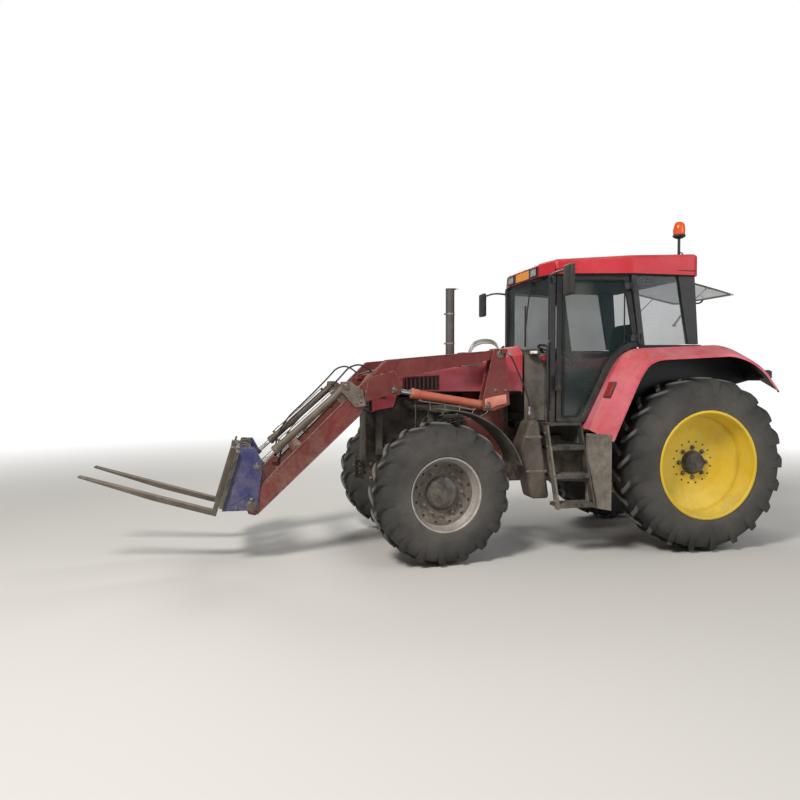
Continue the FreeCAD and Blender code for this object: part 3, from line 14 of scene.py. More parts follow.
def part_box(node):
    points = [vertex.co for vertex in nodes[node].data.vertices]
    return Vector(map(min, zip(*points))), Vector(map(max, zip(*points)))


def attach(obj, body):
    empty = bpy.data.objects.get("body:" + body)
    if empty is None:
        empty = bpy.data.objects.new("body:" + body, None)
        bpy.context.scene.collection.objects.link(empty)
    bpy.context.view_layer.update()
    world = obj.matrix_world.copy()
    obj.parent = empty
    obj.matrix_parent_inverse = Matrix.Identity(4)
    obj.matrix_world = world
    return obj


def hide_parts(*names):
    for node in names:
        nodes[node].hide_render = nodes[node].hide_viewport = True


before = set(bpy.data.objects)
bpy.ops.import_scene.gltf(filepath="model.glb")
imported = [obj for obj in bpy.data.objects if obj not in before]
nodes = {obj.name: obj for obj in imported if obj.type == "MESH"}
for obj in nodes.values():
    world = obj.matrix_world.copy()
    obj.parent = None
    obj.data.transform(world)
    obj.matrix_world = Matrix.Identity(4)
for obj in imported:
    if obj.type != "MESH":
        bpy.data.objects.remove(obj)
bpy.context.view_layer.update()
scene = bpy.context.scene


# %% [markdown]
# The machine's places are easiest to read from the point on the ground under the middle of the rear
# axle. The rear rim's box gives where that axle lies in the frame, so one small function turns a place
# on the tractor into a place in the scene.

# %% Places on the tractor
rim_low, rim_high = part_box("rear_rim_left")
AXLE_X = (rim_low[0] + rim_high[0]) / 2
FRONT_X = 2.6
STEER = math.radians(6.5)


def at(x, y, z):
    return Vector((x + AXLE_X, y, z))


print("rear axle at x =", round(AXLE_X, 4))

# %% [markdown]
# The photograph was taken with a wide lens from the left and a little ahead of the machine, standing.
# The camera stands at that same place, which the sizes of the wheels gave, so every form overlaps the
# next as it did there. It only turns to face the tractor and uses a longer lens, to fill the picture.

# %% Camera, lights and floor
camera = bpy.data.objects.new("camera", bpy.data.cameras.new("camera"))
scene.collection.objects.link(camera)
camera.data.lens = 32
camera.data.sensor_width = 36
camera.location = at(4.31, 6.95, 1.67)
camera.rotation_euler = (math.radians(90 - 1.8), 0, math.radians(180 - 12.5))
scene.camera = camera


def lamp(name, place, target, size, watts, tint=(1, 1, 1)):
    light = bpy.data.lights.new(name, "AREA")
    light.size = size
    light.energy = watts
    light.color = tint
    holder = bpy.data.objects.new(name, light)
    scene.collection.objects.link(holder)
    holder.location = place
    holder.rotation_euler = (Vector(target) - Vector(place)).to_track_quat("-Z", "Y").to_euler()


lamp("sun_side", (5.5, 6.5, 8.5), (-0.3, 0, 0.8), 2.4, 1050, (1, 0.97, 0.92))
lamp("sky_side", (-6.0, 6.5, 4.5), (0, 0, 1.0), 5.0, 220, (0.93, 0.96, 1))
lamp("back_rim", (-1.0, -8.0, 7.0), (0, 0, 1.2), 4.0, 420)

world = bpy.data.worlds.new("studio")
scene.world = world
world.use_nodes = True
sky = world.node_tree
background = sky.nodes["Background"]
path = sky.nodes.new("ShaderNodeLightPath")
seen = sky.nodes.new("ShaderNodeMath")
seen.operation = "MAXIMUM"
strength = sky.nodes.new("ShaderNodeMapRange")
strength.inputs["To Min"].default_value = 0.28
strength.inputs["To Max"].default_value = 1.0
sky.links.new(path.outputs["Is Camera Ray"], seen.inputs[0])
sky.links.new(path.outputs["Is Transmission Ray"], seen.inputs[1])
sky.links.new(seen.outputs[0], strength.inputs["Value"])
sky.links.new(strength.outputs["Result"], background.inputs["Strength"])
background.inputs["Color"].default_value = (1, 1, 1, 1)
scene.view_settings.view_transform = "Standard"

floor_bm = bmesh.new()
bmesh.ops.create_grid(floor_bm, x_segments=1, y_segments=1, size=40)
floor_mesh = bpy.data.meshes.new("floor")
floor_bm.to_mesh(floor_mesh)
floor_bm.free()
floor = bpy.data.objects.new("floor", floor_mesh)
scene.collection.objects.link(floor)
floor_finish = bpy.data.materials.new("floor_finish")
floor_finish.use_nodes = True
floor_tree = floor_finish.node_tree
floor_shader = floor_tree.nodes["Principled BSDF"]
floor_shader.inputs["Base Color"].default_value = (0.60, 0.585, 0.555, 1)
floor_shader.inputs["Roughness"].default_value = 0.9
# Far from the machine the floor passes into the white of the background, so no edge shows.
floor_place = floor_tree.nodes.new("ShaderNodeTexCoord")
floor_away = floor_tree.nodes.new("ShaderNodeVectorMath")
floor_away.operation = "LENGTH"
floor_fade = floor_tree.nodes.new("ShaderNodeMapRange")
floor_fade.interpolation_type = "SMOOTHSTEP"
floor_fade.inputs["From Min"].default_value = 5.0
floor_fade.inputs["From Max"].default_value = 16.0
floor_fade.inputs["To Max"].default_value = 0.9
floor_tree.links.new(floor_place.outputs["Object"], floor_away.inputs[0])
floor_tree.links.new(floor_away.outputs["Value"], floor_fade.inputs["Value"])
floor_tree.links.new(floor_fade.outputs["Result"], floor_shader.inputs["Emission Strength"])
floor_shader.inputs["Emission Color"].default_value = (1, 1, 1, 1)
floor_mesh.materials.append(floor_finish)


# %% [markdown]
# Every finish here is built from shader nodes. A short helper adds a node and wires its inputs, so that
# a finish reads as a list of what happens to the surface.

# %% Helper for shader nodes
def wire(tree, kind, inputs=None, **settings):
    made = tree.nodes.new("ShaderNode" + kind)
    for key, val in settings.items():
        setattr(made, key, val)
    for key, val in (inputs or {}).items():
        if isinstance(val, bpy.types.NodeSocket):
            tree.links.new(val, made.inputs[key])
        else:
            made.inputs[key].default_value = val
    return made


def new_finish(name):
    material = bpy.data.materials.new(name)
    material.use_nodes = True
    tree = material.node_tree
    return material, tree, tree.nodes["Principled BSDF"]


def blend_colours(tree, amount, first, second):
    """Mix two colours; each is a socket or a list of three numbers."""
    mix = wire(tree, "Mix", data_type="RGBA")
    for socket, colour in ((mix.inputs[6], first), (mix.inputs[7], second)):
        if isinstance(colour, bpy.types.NodeSocket):
            tree.links.new(colour, socket)
        else:
            socket.default_value = (*colour, 1)
    if isinstance(amount, bpy.types.NodeSocket):
        tree.links.new(amount, mix.inputs[0])
    else:
        mix.inputs[0].default_value = amount
    return mix.outputs[2]


def stretch(tree, socket, low, high, to_low=0.0, to_high=1.0):
    return wire(tree, "MapRange", {"Value": socket, "From Min": low, "From Max": high,
                                   "To Min": to_low, "To Max": to_high}).outputs["Result"]


def maths(tree, operation, first, second=0.0, clamp=False):
    made = wire(tree, "Math", operation=operation, use_clamp=clamp)
    for socket, val in ((made.inputs[0], first), (made.inputs[1], second)):
        if isinstance(val, bpy.types.NodeSocket):
            tree.links.new(val, socket)
        else:
            socket.default_value = val
    return made.outputs[0]


# %% [markdown]
# Paint on a working tractor is never one colour. The sun fades it in broad patches, dust settles on what
# faces up and near the ground, and edges rub through to primer. The finish below layers these: a slow
# noise for the fading, the height and the slope for the dust, and the Bevel node, which sees where a
# surface turns a corner, for the rubbed edges. The same node rounds the corners in the light.

# %% The weathered finish
DUST = (0.34, 0.29, 0.22)


def weathered(name, colour, faded, rough=0.5, metal=0.0, dust=DUST, low=0.75, high=0.12, edge=None,
              edge_width=0.006, speck=45.0, bump=0.12, patch=1.6, streak=0.0, lining_and_shade_about=None):
    material, tree, shader = new_finish(name)
    where = wire(tree, "TexCoord").outputs["Object"]
    spot = wire(tree, "SeparateXYZ", {"Vector": where})
    broad = wire(tree, "TexNoise", {"Vector": where, "Scale": patch, "Detail": 6.0, "Roughness": 0.62})
    fine = wire(tree, "TexNoise", {"Vector": where, "Scale": speck, "Detail": 7.0, "Roughness": 0.7})
    middle = wire(tree, "TexNoise", {"Vector": where, "Scale": 7.0, "Detail": 8.0, "Roughness": 0.68,
                                     "Distortion": 0.4})
    paint = blend_colours(tree, stretch(tree, broad.outputs[0], 0.36, 0.66), colour, faded)
    if streak:
        rain = wire(tree, "Mapping", {"Vector": where, "Scale": (22.0, 22.0, 1.3)})
        runs = wire(tree, "TexNoise", {"Vector": rain.outputs[0], "Scale": 1.0, "Detail": 5.0})
        washed = maths(tree, "MULTIPLY", stretch(tree, runs.outputs[0], 0.5, 0.72), streak)
        paint = blend_colours(tree, washed, paint, [c * 0.55 + d * 0.25 for c, d in zip(faded, dust)])
    facing = wire(tree, "SeparateXYZ", {"Vector": wire(tree, "NewGeometry").outputs["Normal"]})
    lying = stretch(tree, facing.outputs["Z"], 0.15, 0.95, 0.0, 0.34)
    ground = stretch(tree, spot.outputs["Z"], 0.25, 1.9, low, high)
    patches = stretch(tree, middle.outputs[0], 0.38, 0.66, 0.15, 1.35)
    specks = stretch(tree, fine.outputs[0], 0.3, 0.75, 0.55, 1.3)
    amount = maths(tree, "MULTIPLY", maths(tree, "ADD", ground, lying), patches)
    amount = maths(tree, "MULTIPLY", amount, specks, clamp=True)
    surface = blend_colours(tree, amount, paint, dust)
    rounded = wire(tree, "Bevel", {"Radius": edge_width}, samples=4)
    if edge is not None:
        meeting = wire(tree, "VectorMath", {0: rounded.outputs[0], 1: wire(tree, "NewGeometry").outputs["Normal"]},
                       operation="DOT_PRODUCT")
        corner = stretch(tree, meeting.outputs["Value"], 0.985, 0.90)
        chipped = maths(tree, "MULTIPLY", corner, stretch(tree, fine.outputs[0], 0.42, 0.6), clamp=True)
        surface = blend_colours(tree, chipped, surface, edge)
    if lining_and_shade_about is not None:
        # What faces the wheel's axle, and the inner wall beside the wheel, is painted near black: partly the dark
        # lining of the wheel well, partly painted shade under the mudguard.
        spoke = wire(tree, "VectorMath", {0: where, 1: lining_and_shade_about}, operation="SUBTRACT")
        spoke = wire(tree, "VectorMath", {0: spoke.outputs[0], 1: (1, 0, 1)}, operation="MULTIPLY")
        inward = wire(tree, "VectorMath", {0: spoke.outputs[0], 1: wire(tree, "NewGeometry").outputs["Normal"]},
                      operation="DOT_PRODUCT")
        across = wire(tree, "VectorMath", {0: where, 1: wire(tree, "NewGeometry").outputs["Normal"]},
                      operation="MULTIPLY")
        wall = stretch(tree, wire(tree, "SeparateXYZ", {"Vector": across.outputs[0]}).outputs["Y"], 0.50, 0.54)
        near = stretch(tree, maths(tree, "ABSOLUTE", spot.outputs["Y"]), 0.80, 0.76)
        wall = maths(tree, "MULTIPLY", wall, near)
        dark = maths(tree, "MAXIMUM", wall, stretch(tree, inward.outputs["Value"], -0.25, -0.35))
        surface = blend_colours(tree, dark, surface, (0.010, 0.010, 0.011))
    tree.links.new(surface, shader.inputs["Base Color"])
    tree.links.new(stretch(tree, amount, 0.0, 1.0, rough, 0.95), shader.inputs["Roughness"])
    shader.inputs["Metallic"].default_value = metal
    shader.inputs["Specular IOR Level"].default_value = 0.5 if metal else 0.32
    relief = wire(tree, "Bump", {"Height": fine.outputs[0], "Strength": bump, "Distance": 0.004,
                                 "Normal": rounded.outputs[0]})
    tree.links.new(relief.outputs[0], shader.inputs["Normal"])
    return material


red_paint = weathered("red_paint", (0.50, 0.035, 0.055), (0.64, 0.14, 0.18), rough=0.4, low=0.22, high=0.02,
                      edge=(0.74, 0.36, 0.38), patch=2.2, streak=0.3)
# The mudguard's paint turns near black towards the rear wheel: the well's dark lining together with painted shade under
# the mudguard.
wing_paint = weathered("wing_paint", (0.52, 0.045, 0.07), (0.68, 0.17, 0.22), rough=0.4, low=0.22, high=0.02,
                       edge=(0.76, 0.40, 0.42), patch=2.2, streak=0.3, lining_and_shade_about=(AXLE_X, 0, 0.84))
# A darkened copy of the red paint: painted shade for the bonnet's side under the loader's arm.
shaded_red_paint = weathered("shaded_red_paint", (0.085, 0.012, 0.014), (0.14, 0.026, 0.026), rough=0.5, low=0.3, high=0.05,
                         edge=(0.36, 0.2, 0.18))
roof_paint = weathered("roof_paint", (0.44, 0.012, 0.02), (0.52, 0.045, 0.06), rough=0.36, low=0.2, high=0.02,
                       edge=(0.62, 0.22, 0.22))
loader_paint = weathered("loader_paint", (0.105, 0.009, 0.010), (0.165, 0.022, 0.021), rough=0.5, low=0.30,
                         high=0.03, edge=(0.46, 0.28, 0.24), edge_width=0.009, streak=0.15)
salmon_paint = weathered("salmon_paint", (0.62, 0.16, 0.11), (0.70, 0.30, 0.22), rough=0.5, low=0.3, high=0.1,
                         edge=(0.5, 0.36, 0.3), patch=5.0, streak=0.3)
orange_paint = weathered("orange_paint", (0.40, 0.07, 0.03), (0.50, 0.14, 0.08), rough=0.42, low=0.35, high=0.1,
                         edge=(0.5, 0.4, 0.32))
blue_paint = weathered("blue_paint", (0.012, 0.016, 0.115), (0.04, 0.042, 0.14), rough=0.5, low=0.3, high=0.1,
                       edge=(0.30, 0.29, 0.38), edge_width=0.008)
black_paint = weathered("black_paint", (0.010, 0.010, 0.012), (0.022, 0.022, 0.024), rough=0.42, low=0.4,
                        high=0.03, edge=(0.13, 0.125, 0.12))
frame_black = weathered("frame_black", (0.014, 0.015, 0.014), (0.035, 0.032, 0.03), rough=0.5, low=0.35,
                        high=0.1, edge=(0.32, 0.29, 0.26), edge_width=0.008)
cab_grey = weathered("cab_grey", (0.045, 0.043, 0.038), (0.11, 0.10, 0.088), rough=0.6, low=0.6, high=0.12,
                     edge=(0.24, 0.23, 0.21))
casting = weathered("casting", (0.014, 0.012, 0.011), (0.035, 0.028, 0.025), rough=0.65, low=0.5, high=0.08,
                    speck=70, bump=0.5)
worn_steel = weathered("worn_steel", (0.075, 0.062, 0.052), (0.13, 0.11, 0.09), rough=0.45, metal=0.6, low=0.3,
                       high=0.15, edge=(0.5, 0.46, 0.4), speck=80, bump=0.3)
rust_steel = weathered("rust_steel", (0.07, 0.05, 0.04), (0.14, 0.105, 0.085), rough=0.55, metal=0.35, low=0.3,
                       high=0.14, edge=(0.42, 0.36, 0.3), speck=90, bump=0.4)
stack_grey = weathered("stack_grey", (0.055, 0.055, 0.056), (0.10, 0.095, 0.09), rough=0.5, metal=0.3, low=0.2,
                       high=0.1, edge=(0.3, 0.28, 0.26), speck=60, bump=0.2)
bright_rod = weathered("bright_rod", (0.72, 0.72, 0.72), (0.66, 0.65, 0.64), rough=0.14, metal=1.0, low=0.1,
                       high=0.03, bump=0.02)
dull_steel = weathered("dull_steel", (0.28, 0.275, 0.265), (0.40, 0.39, 0.37), rough=0.38, metal=0.8, low=0.3,
                       high=0.08, bump=0.1)
black_plastic = weathered("black_plastic", (0.012, 0.012, 0.012), (0.028, 0.028, 0.028), rough=0.55, low=0.45,
                          high=0.05, speck=160, bump=0.2)
fender_plastic = weathered("fender_plastic", (0.016, 0.016, 0.017), (0.045, 0.044, 0.042), rough=0.5, low=0.4,
                           high=0.22, speck=120, bump=0.2)
tank_plastic = weathered("tank_plastic", (0.04, 0.032, 0.027), (0.085, 0.07, 0.058), rough=0.45, low=0.45,
                         high=0.12, dust=(0.2, 0.165, 0.125), speck=30, patch=3.0)
flap_rubber = weathered("flap_rubber", (0.06, 0.055, 0.05), (0.20, 0.18, 0.155), rough=0.8, low=0.75, high=0.5,
                        dust=(0.27, 0.24, 0.2), speck=25, bump=0.5, patch=4.0)
clamp_brown = weathered("clamp_brown", (0.06, 0.045, 0.036), (0.12, 0.095, 0.075), rough=0.65, low=0.4, high=0.35,
                        edge=(0.3, 0.25, 0.2), speck=60, bump=0.3)
cab_inside = weathered("cab_inside", (0.035, 0.035, 0.035), (0.06, 0.06, 0.058), rough=0.75, low=0.3, high=0.06,
                       speck=120)
print("finishes:", len(bpy.data.materials))


# %% [markdown]
# The cab's glass is lightly tinted and dusty. A see-through finish with a low alpha keeps the driver's
# place visible behind it, and a little dust in loose patches on each pane keeps it from looking new.

# %% Glass and lamp finishes
def tinted(name, colour, alpha, rough=0.06):
    material, tree, shader = new_finish(name)
    where = wire(tree, "TexCoord").outputs["Object"]
    film = wire(tree, "TexNoise", {"Vector": where, "Scale": 2.0, "Detail": 2.0, "Roughness": 0.4})
    smear = stretch(tree, film.outputs[0], 0.42, 0.75)
    tree.links.new(blend_colours(tree, smear, colour, (0.10, 0.11, 0.10)), shader.inputs["Base Color"])
    shader.inputs["Roughness"].default_value = rough
    tree.links.new(stretch(tree, smear, 0.0, 1.0, alpha, alpha + 0.10), shader.inputs["Alpha"])
    return material


cab_glass = tinted("cab_glass", (0.012, 0.026, 0.030), 0.36)
rear_glass = tinted("rear_glass", (0.05, 0.065, 0.05), 0.42)


def plain(name, colour, rough, speck=120.0, alpha=1.0, metal=0.0):
    """A moulded part with only a fine grain and a little change of tone."""
    material, tree, shader = new_finish(name)
    where = wire(tree, "TexCoord").outputs["Object"]
    grain = wire(tree, "TexNoise", {"Vector": where, "Scale": speck, "Detail": 4.0})
    darker = [c * 0.72 for c in colour]
    tree.links.new(blend_colours(tree, stretch(tree, grain.outputs[0], 0.35, 0.7), colour, darker),
                   shader.inputs["Base Color"])
    tree.links.new(stretch(tree, grain.outputs[0], 0.3, 0.7, rough, rough + 0.15), shader.inputs["Roughness"])
    shader.inputs["Alpha"].default_value = alpha
    shader.inputs["Metallic"].default_value = metal
    return material


lamp_glass = plain("lamp_glass", (0.82, 0.82, 0.78), 0.12, 30)
amber_lens = plain("amber_lens", (0.85, 0.32, 0.03), 0.25, 40)
red_lens = plain("red_lens", (0.30, 0.02, 0.02), 0.2, 60)
beacon_lens = plain("beacon_lens", (0.75, 0.10, 0.015), 0.12, 60)
cloth = plain("seat_cloth", (0.035, 0.036, 0.04), 0.9, 400)
seal_rubber = plain("seal_rubber", (0.012, 0.012, 0.012), 0.8, 200)
hose_rubber = plain("hose_rubber", (0.016, 0.016, 0.017), 0.5, 300)
mirror_face = plain("mirror_face", (0.75, 0.77, 0.78), 0.04, 20, metal=1.0)
clear_pane = plain("clear_pane", (0.7, 0.72, 0.7), 0.05, 30, alpha=0.22)

# %% [markdown]
# Each solid of the CAD model now gets its finish. The order below follows the machine: driveline, cab,
# loader and linkage.

# %% Finishes of the CAD solids
NODE_FINISH = {
    "engine_block": casting, "gearbox_housing": casting, "rear_axle": casting, "front_bolster": casting,
    "front_axle_beam": casting, "knuckle_left": casting, "knuckle_right": casting,
    "cab_floor": cab_inside, "cab_front_wall": cab_grey, "cab_rear_wall": cab_grey, "cab_pillars": black_paint,
    "cab_roof": roof_paint, "windscreen": cab_glass, "side_windows": cab_glass, "rear_window": rear_glass,
    "driver_seat": cloth, "steering_column": cab_inside, "steering_wheel": black_plastic,
    "rear_fenders": wing_paint, "fender_flaps": flap_rubber, "fuel_tanks": tank_plastic,
    "cab_steps": black_paint, "loader_masts": loader_paint, "mirrors": black_plastic, "roof_lamps": lamp_glass,
    "beacon": beacon_lens, "drawbar": worn_steel, "hood_shell": red_paint, "nose_grille": black_plastic,
    "exhaust_stack": stack_grey, "boom_arms": loader_paint, "boom_cross_tube": loader_paint,
    "lift_barrels": orange_paint, "lift_rods": bright_rod, "crowd_barrels": rust_steel,
    "crowd_rods": bright_rod, "quick_hitch": blue_paint, "fork_frame": frame_black, "fork_tines": worn_steel,
    "front_fender_left": fender_plastic, "front_fender_right": fender_plastic,
    "door_frame_left": black_paint, "door_frame_right": black_paint, "door_glass_left": cab_glass,
    "door_glass_right": cab_glass, "lower_links": rust_steel, "lift_links": rust_steel,
    "rocker_arms": casting, "mast_hose": hose_rubber, "crowd_hoses": hose_rubber,
}
for node_name, finish in NODE_FINISH.items():
    for holder in nodes[node_name].material_slots:
        holder.material = finish
print("solids with a finish:", len(NODE_FINISH))


# %% [markdown]
# A new piece starts as a bmesh and ends as an object that rides on a body of the machine. The helper
# merges doubles, turns the faces outwards and sets smooth shading that breaks at the real corners.

# %% Helper that keeps a piece
def keep(bm, name, body, finish, replaces=(), corner=35.0, bevel=0.0, place=None):
    bmesh.ops.remove_doubles(bm, verts=bm.verts, dist=1e-5)
    bmesh.ops.recalc_face_normals(bm, faces=bm.faces)
    mesh = bpy.data.meshes.new(name)
    bm.to_mesh(mesh)
    bm.free()
    if place is not None:
        mesh.transform(place)
        if place.determinant() < 0:
            mesh.flip_normals()
    for face in mesh.polygons:
        face.use_smooth = True
    piece = bpy.data.objects.new(name, mesh)
    scene.collection.objects.link(piece)
    mesh.materials.append(finish)
    if bevel:
        rounder = piece.modifiers.new("rounded", "BEVEL")
        rounder.width = bevel
        rounder.segments = 2
        rounder.limit_method = "ANGLE"
        rounder.harden_normals = True
    else:
        mesh.set_sharp_from_angle(angle=math.radians(corner))
    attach(piece, body)
    if replaces:
        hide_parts(*replaces)
    return piece


def spun(profile, steps=96):
    """A closed or open line of (across, radius) points turned about the axle, which is Y."""
    bm = bmesh.new()
    dots = [bm.verts.new((0, across, radius)) for across, radius in profile]
    lines = [bm.edges.new(two) for two in zip(dots, dots[1:])]
    bmesh.ops.spin(bm, geom=dots + lines, cent=(0, 0, 0), axis=(0, 1, 0), dvec=(0, 0, 0),
                   angle=2 * math.pi, steps=steps, use_merge=True)
    return bm


# %% [markdown]
# The four wheels share two designs. A wheel is made lying about its own axle, which runs along Y with
# the outside of the wheel at +Y, and is then set in place. The right-hand wheels are mirror images.

# %% Places of the wheels
OUT = 0.135
WHEELS = {
    ("rear", "left"): Matrix.Translation(at(0, 0.83, 0.84)),
    ("rear", "right"): Matrix.Translation(at(0, -0.83, 0.84)) @ Matrix.Scale(-1, 4, (0, 1, 0)),
    ("front", "left"): Matrix.Translation(at(FRONT_X - OUT * math.sin(STEER), 0.68 + OUT * math.cos(STEER), 0.64))
    @ Matrix.Rotation(STEER, 4, "Z"),
    ("front", "right"): Matrix.Translation(at(FRONT_X + OUT * math.sin(STEER), -0.68 - OUT * math.cos(STEER), 0.64))
    @ Matrix.Rotation(STEER, 4, "Z") @ Matrix.Scale(-1, 4, (0, 1, 0)),
}

# %% [markdown]
# A tractor tyre has a round casing with thick bars that meet in a broken V along its middle. Each bar is
# a block whose length is divided, so that one function can bend it round the casing, widen its foot and
# draw its outer end down over the shoulder. Spin then repeats it round the tyre.

# %% Build a tyre
TYRES = {
    "rear": {"radius": 0.838, "casing": 0.797, "half": 0.214, "bead": 0.502, "bars": 21, "sweep": 0.150,
             "thick": 0.025, "root": 0.655},
    "front": {"radius": 0.638, "casing": 0.602, "half": 0.188, "bead": 0.327, "bars": 18, "sweep": 0.128,
              "thick": 0.023, "root": 0.485},
}


def casing_line(t):
    """From one bead over the crown to the other: bead, belly, shoulder and crown."""
    tall, wide = t["casing"] - t["bead"], t["half"]
    side = [(0.86, 0.0), (0.93, 0.03), (0.965, 0.12), (0.97, 0.16), (0.995, 0.19), (0.99, 0.42), (0.975, 0.60),
            (0.94, 0.78), (0.90, 0.86), (0.84, 0.93), (0.76, 0.972), (0.62, 0.988), (0.35, 0.997), (0.0, 1.0)]
    half = [(-wide * a, t["bead"] + tall * b) for a, b in side]
    return half + [(-a, r) for a, r in half[-2::-1]]


def bar(t):
    bm = bmesh.new()
    bmesh.ops.create_cube(bm, size=1)
    along = [e for e in bm.edges if abs(e.verts[0].co.y - e.verts[1].co.y) > 0.5]
    bmesh.ops.subdivide_edges(bm, edges=along, cuts=7)
    for v in bm.verts:
        u, side, tall = v.co.y + 0.5, v.co.x * 2, v.co.z + 0.5
        shoulder = max(0.0, (u - 0.72) / 0.28)
        crown = t["radius"] - 0.012 * u ** 2 - 0.035 * shoulder ** 2
        foot = t["casing"] - 0.014 - (t["casing"] - 0.014 - t["root"]) * shoulder ** 1.6
        across = -0.008 + u * (t["half"] - 0.003 + 0.008) + 0.001 * shoulder * (1 - tall)
        turn = t["sweep"] * (0.5 - u) + 0.016 * math.sin(math.pi * u)
        width = t["thick"] * (1 + 0.32 * (1 - tall)) * (1 + 0.25 * shoulder - 0.12 * (1 - u))
        r = foot + (crown - foot) * tall
        angle = (turn + side * width) / t["radius"]
        v.co = (r * math.sin(angle), across, r * math.cos(angle))
    top = [e for e in bm.edges if min(math.hypot(v.co.x, v.co.z) for v in e.verts) > t["casing"] + 0.002]
    bmesh.ops.bevel(bm, geom=top, offset=0.005, segments=2, profile=0.5, affect="EDGES", material=-1)
    return bm


def tyre(t):
    whole = spun(casing_line(t), 108)
    for side in (1, -1):
        one = bar(t)
        bmesh.ops.spin(one, geom=one.verts[:] + one.edges[:] + one.faces[:], cent=(0, 0, 0), axis=(0, 1, 0),
                       angle=2 * math.pi * (t["bars"] - 1) / t["bars"], steps=t["bars"] - 1, use_duplicate=True)
        if side < 0:
            bmesh.ops.scale(one, vec=(1, -1, 1), verts=one.verts)
            bmesh.ops.rotate(one, cent=(0, 0, 0), verts=one.verts,
                             matrix=Matrix.Rotation(math.pi / t["bars"], 3, "Y"))
        row = bpy.data.meshes.new("row")
        one.to_mesh(row)
        one.free()
        whole.from_mesh(row)
        bpy.data.meshes.remove(row)
    return whole


# %% [markdown]
# Rubber that works on stony ground is polished grey on top of the bars and holds pale dust between them
# and on the walls; the grey on the bars' tops is also a painted highlight, where the light falls on them.
# The finish measures the distance from the axle, with a Mapping node that moves the pattern's centre to
# the wheel, and colours the crown, the gaps and the wall from it.

# %% Finish of a tyre
def tyre_finish(name, centre, t):
    material, tree, shader = new_finish(name)
    where = wire(tree, "TexCoord").outputs["Object"]
    local = wire(tree, "Mapping", {"Vector": where, "Location": -centre}).outputs[0]
    spot = wire(tree, "SeparateXYZ", {"Vector": local})
    flat = wire(tree, "CombineXYZ", {"X": spot.outputs["X"], "Z": spot.outputs["Z"]})
    away = wire(tree, "VectorMath", {0: flat.outputs[0]}, operation="LENGTH").outputs["Value"]
    fine = wire(tree, "TexNoise", {"Vector": where, "Scale": 60.0, "Detail": 8.0, "Roughness": 0.75})
    broad = wire(tree, "TexNoise", {"Vector": where, "Scale": 3.0, "Detail": 7.0, "Roughness": 0.6})
    rubber = blend_colours(tree, stretch(tree, broad.outputs[0], 0.35, 0.68), (0.016, 0.016, 0.016),
                           (0.042, 0.040, 0.037))
    # The bars' tops turn lighter grey: partly polish from wear, partly a painted highlight where the light falls on
    # them.
    crown = stretch(tree, away, t["radius"] - 0.02, t["radius"] - 0.006)
    rubber = blend_colours(tree, crown, rubber, (0.145, 0.138, 0.128))
    gap = stretch(tree, away, t["casing"] + 0.012, t["casing"] - 0.006)
    wall = stretch(tree, away, t["bead"], t["casing"] - 0.02, 0.62, 0.12)
    low = maths(tree, "MULTIPLY", gap, wall)
    dusty = maths(tree, "MULTIPLY", low, stretch(tree, broad.outputs[0], 0.3, 0.7, 0.6, 1.3), clamp=True)
    dusty = maths(tree, "MULTIPLY", dusty, stretch(tree, fine.outputs[0], 0.3, 0.65, 0.5, 1.2), clamp=True)
    surface = blend_colours(tree, dusty, rubber, (0.125, 0.112, 0.095))
    tree.links.new(surface, shader.inputs["Base Color"])
    tree.links.new(stretch(tree, fine.outputs[0], 0.3, 0.7, 0.72, 0.95), shader.inputs["Roughness"])
    relief = wire(tree, "Bump", {"Height": fine.outputs[0], "Strength": 0.35, "Distance": 0.004})
    tree.links.new(relief.outputs[0], shader.inputs["Normal"])
    return material


for (end, side), place in WHEELS.items():
    name = "%s_tyre_%s" % (end, side)
    rubber = tyre_finish(name + "_rubber", place.translation, TYRES[end])
    made = keep(tyre(TYRES[end]), name + "_treaded", "%s_wheel_%s" % (end, side), rubber,
                replaces=(name,), corner=50, place=place)
    print(made.name, len(made.data.polygons), "faces")

# %% [markdown]
# A rim is spun from its section: a rolled lip, the bead seat, the deep well and the lip on the other
# side. The dished disc is welded inside, and carries the hub and a ring of nuts. One closed line gives
# rim and disc their real wall thickness.

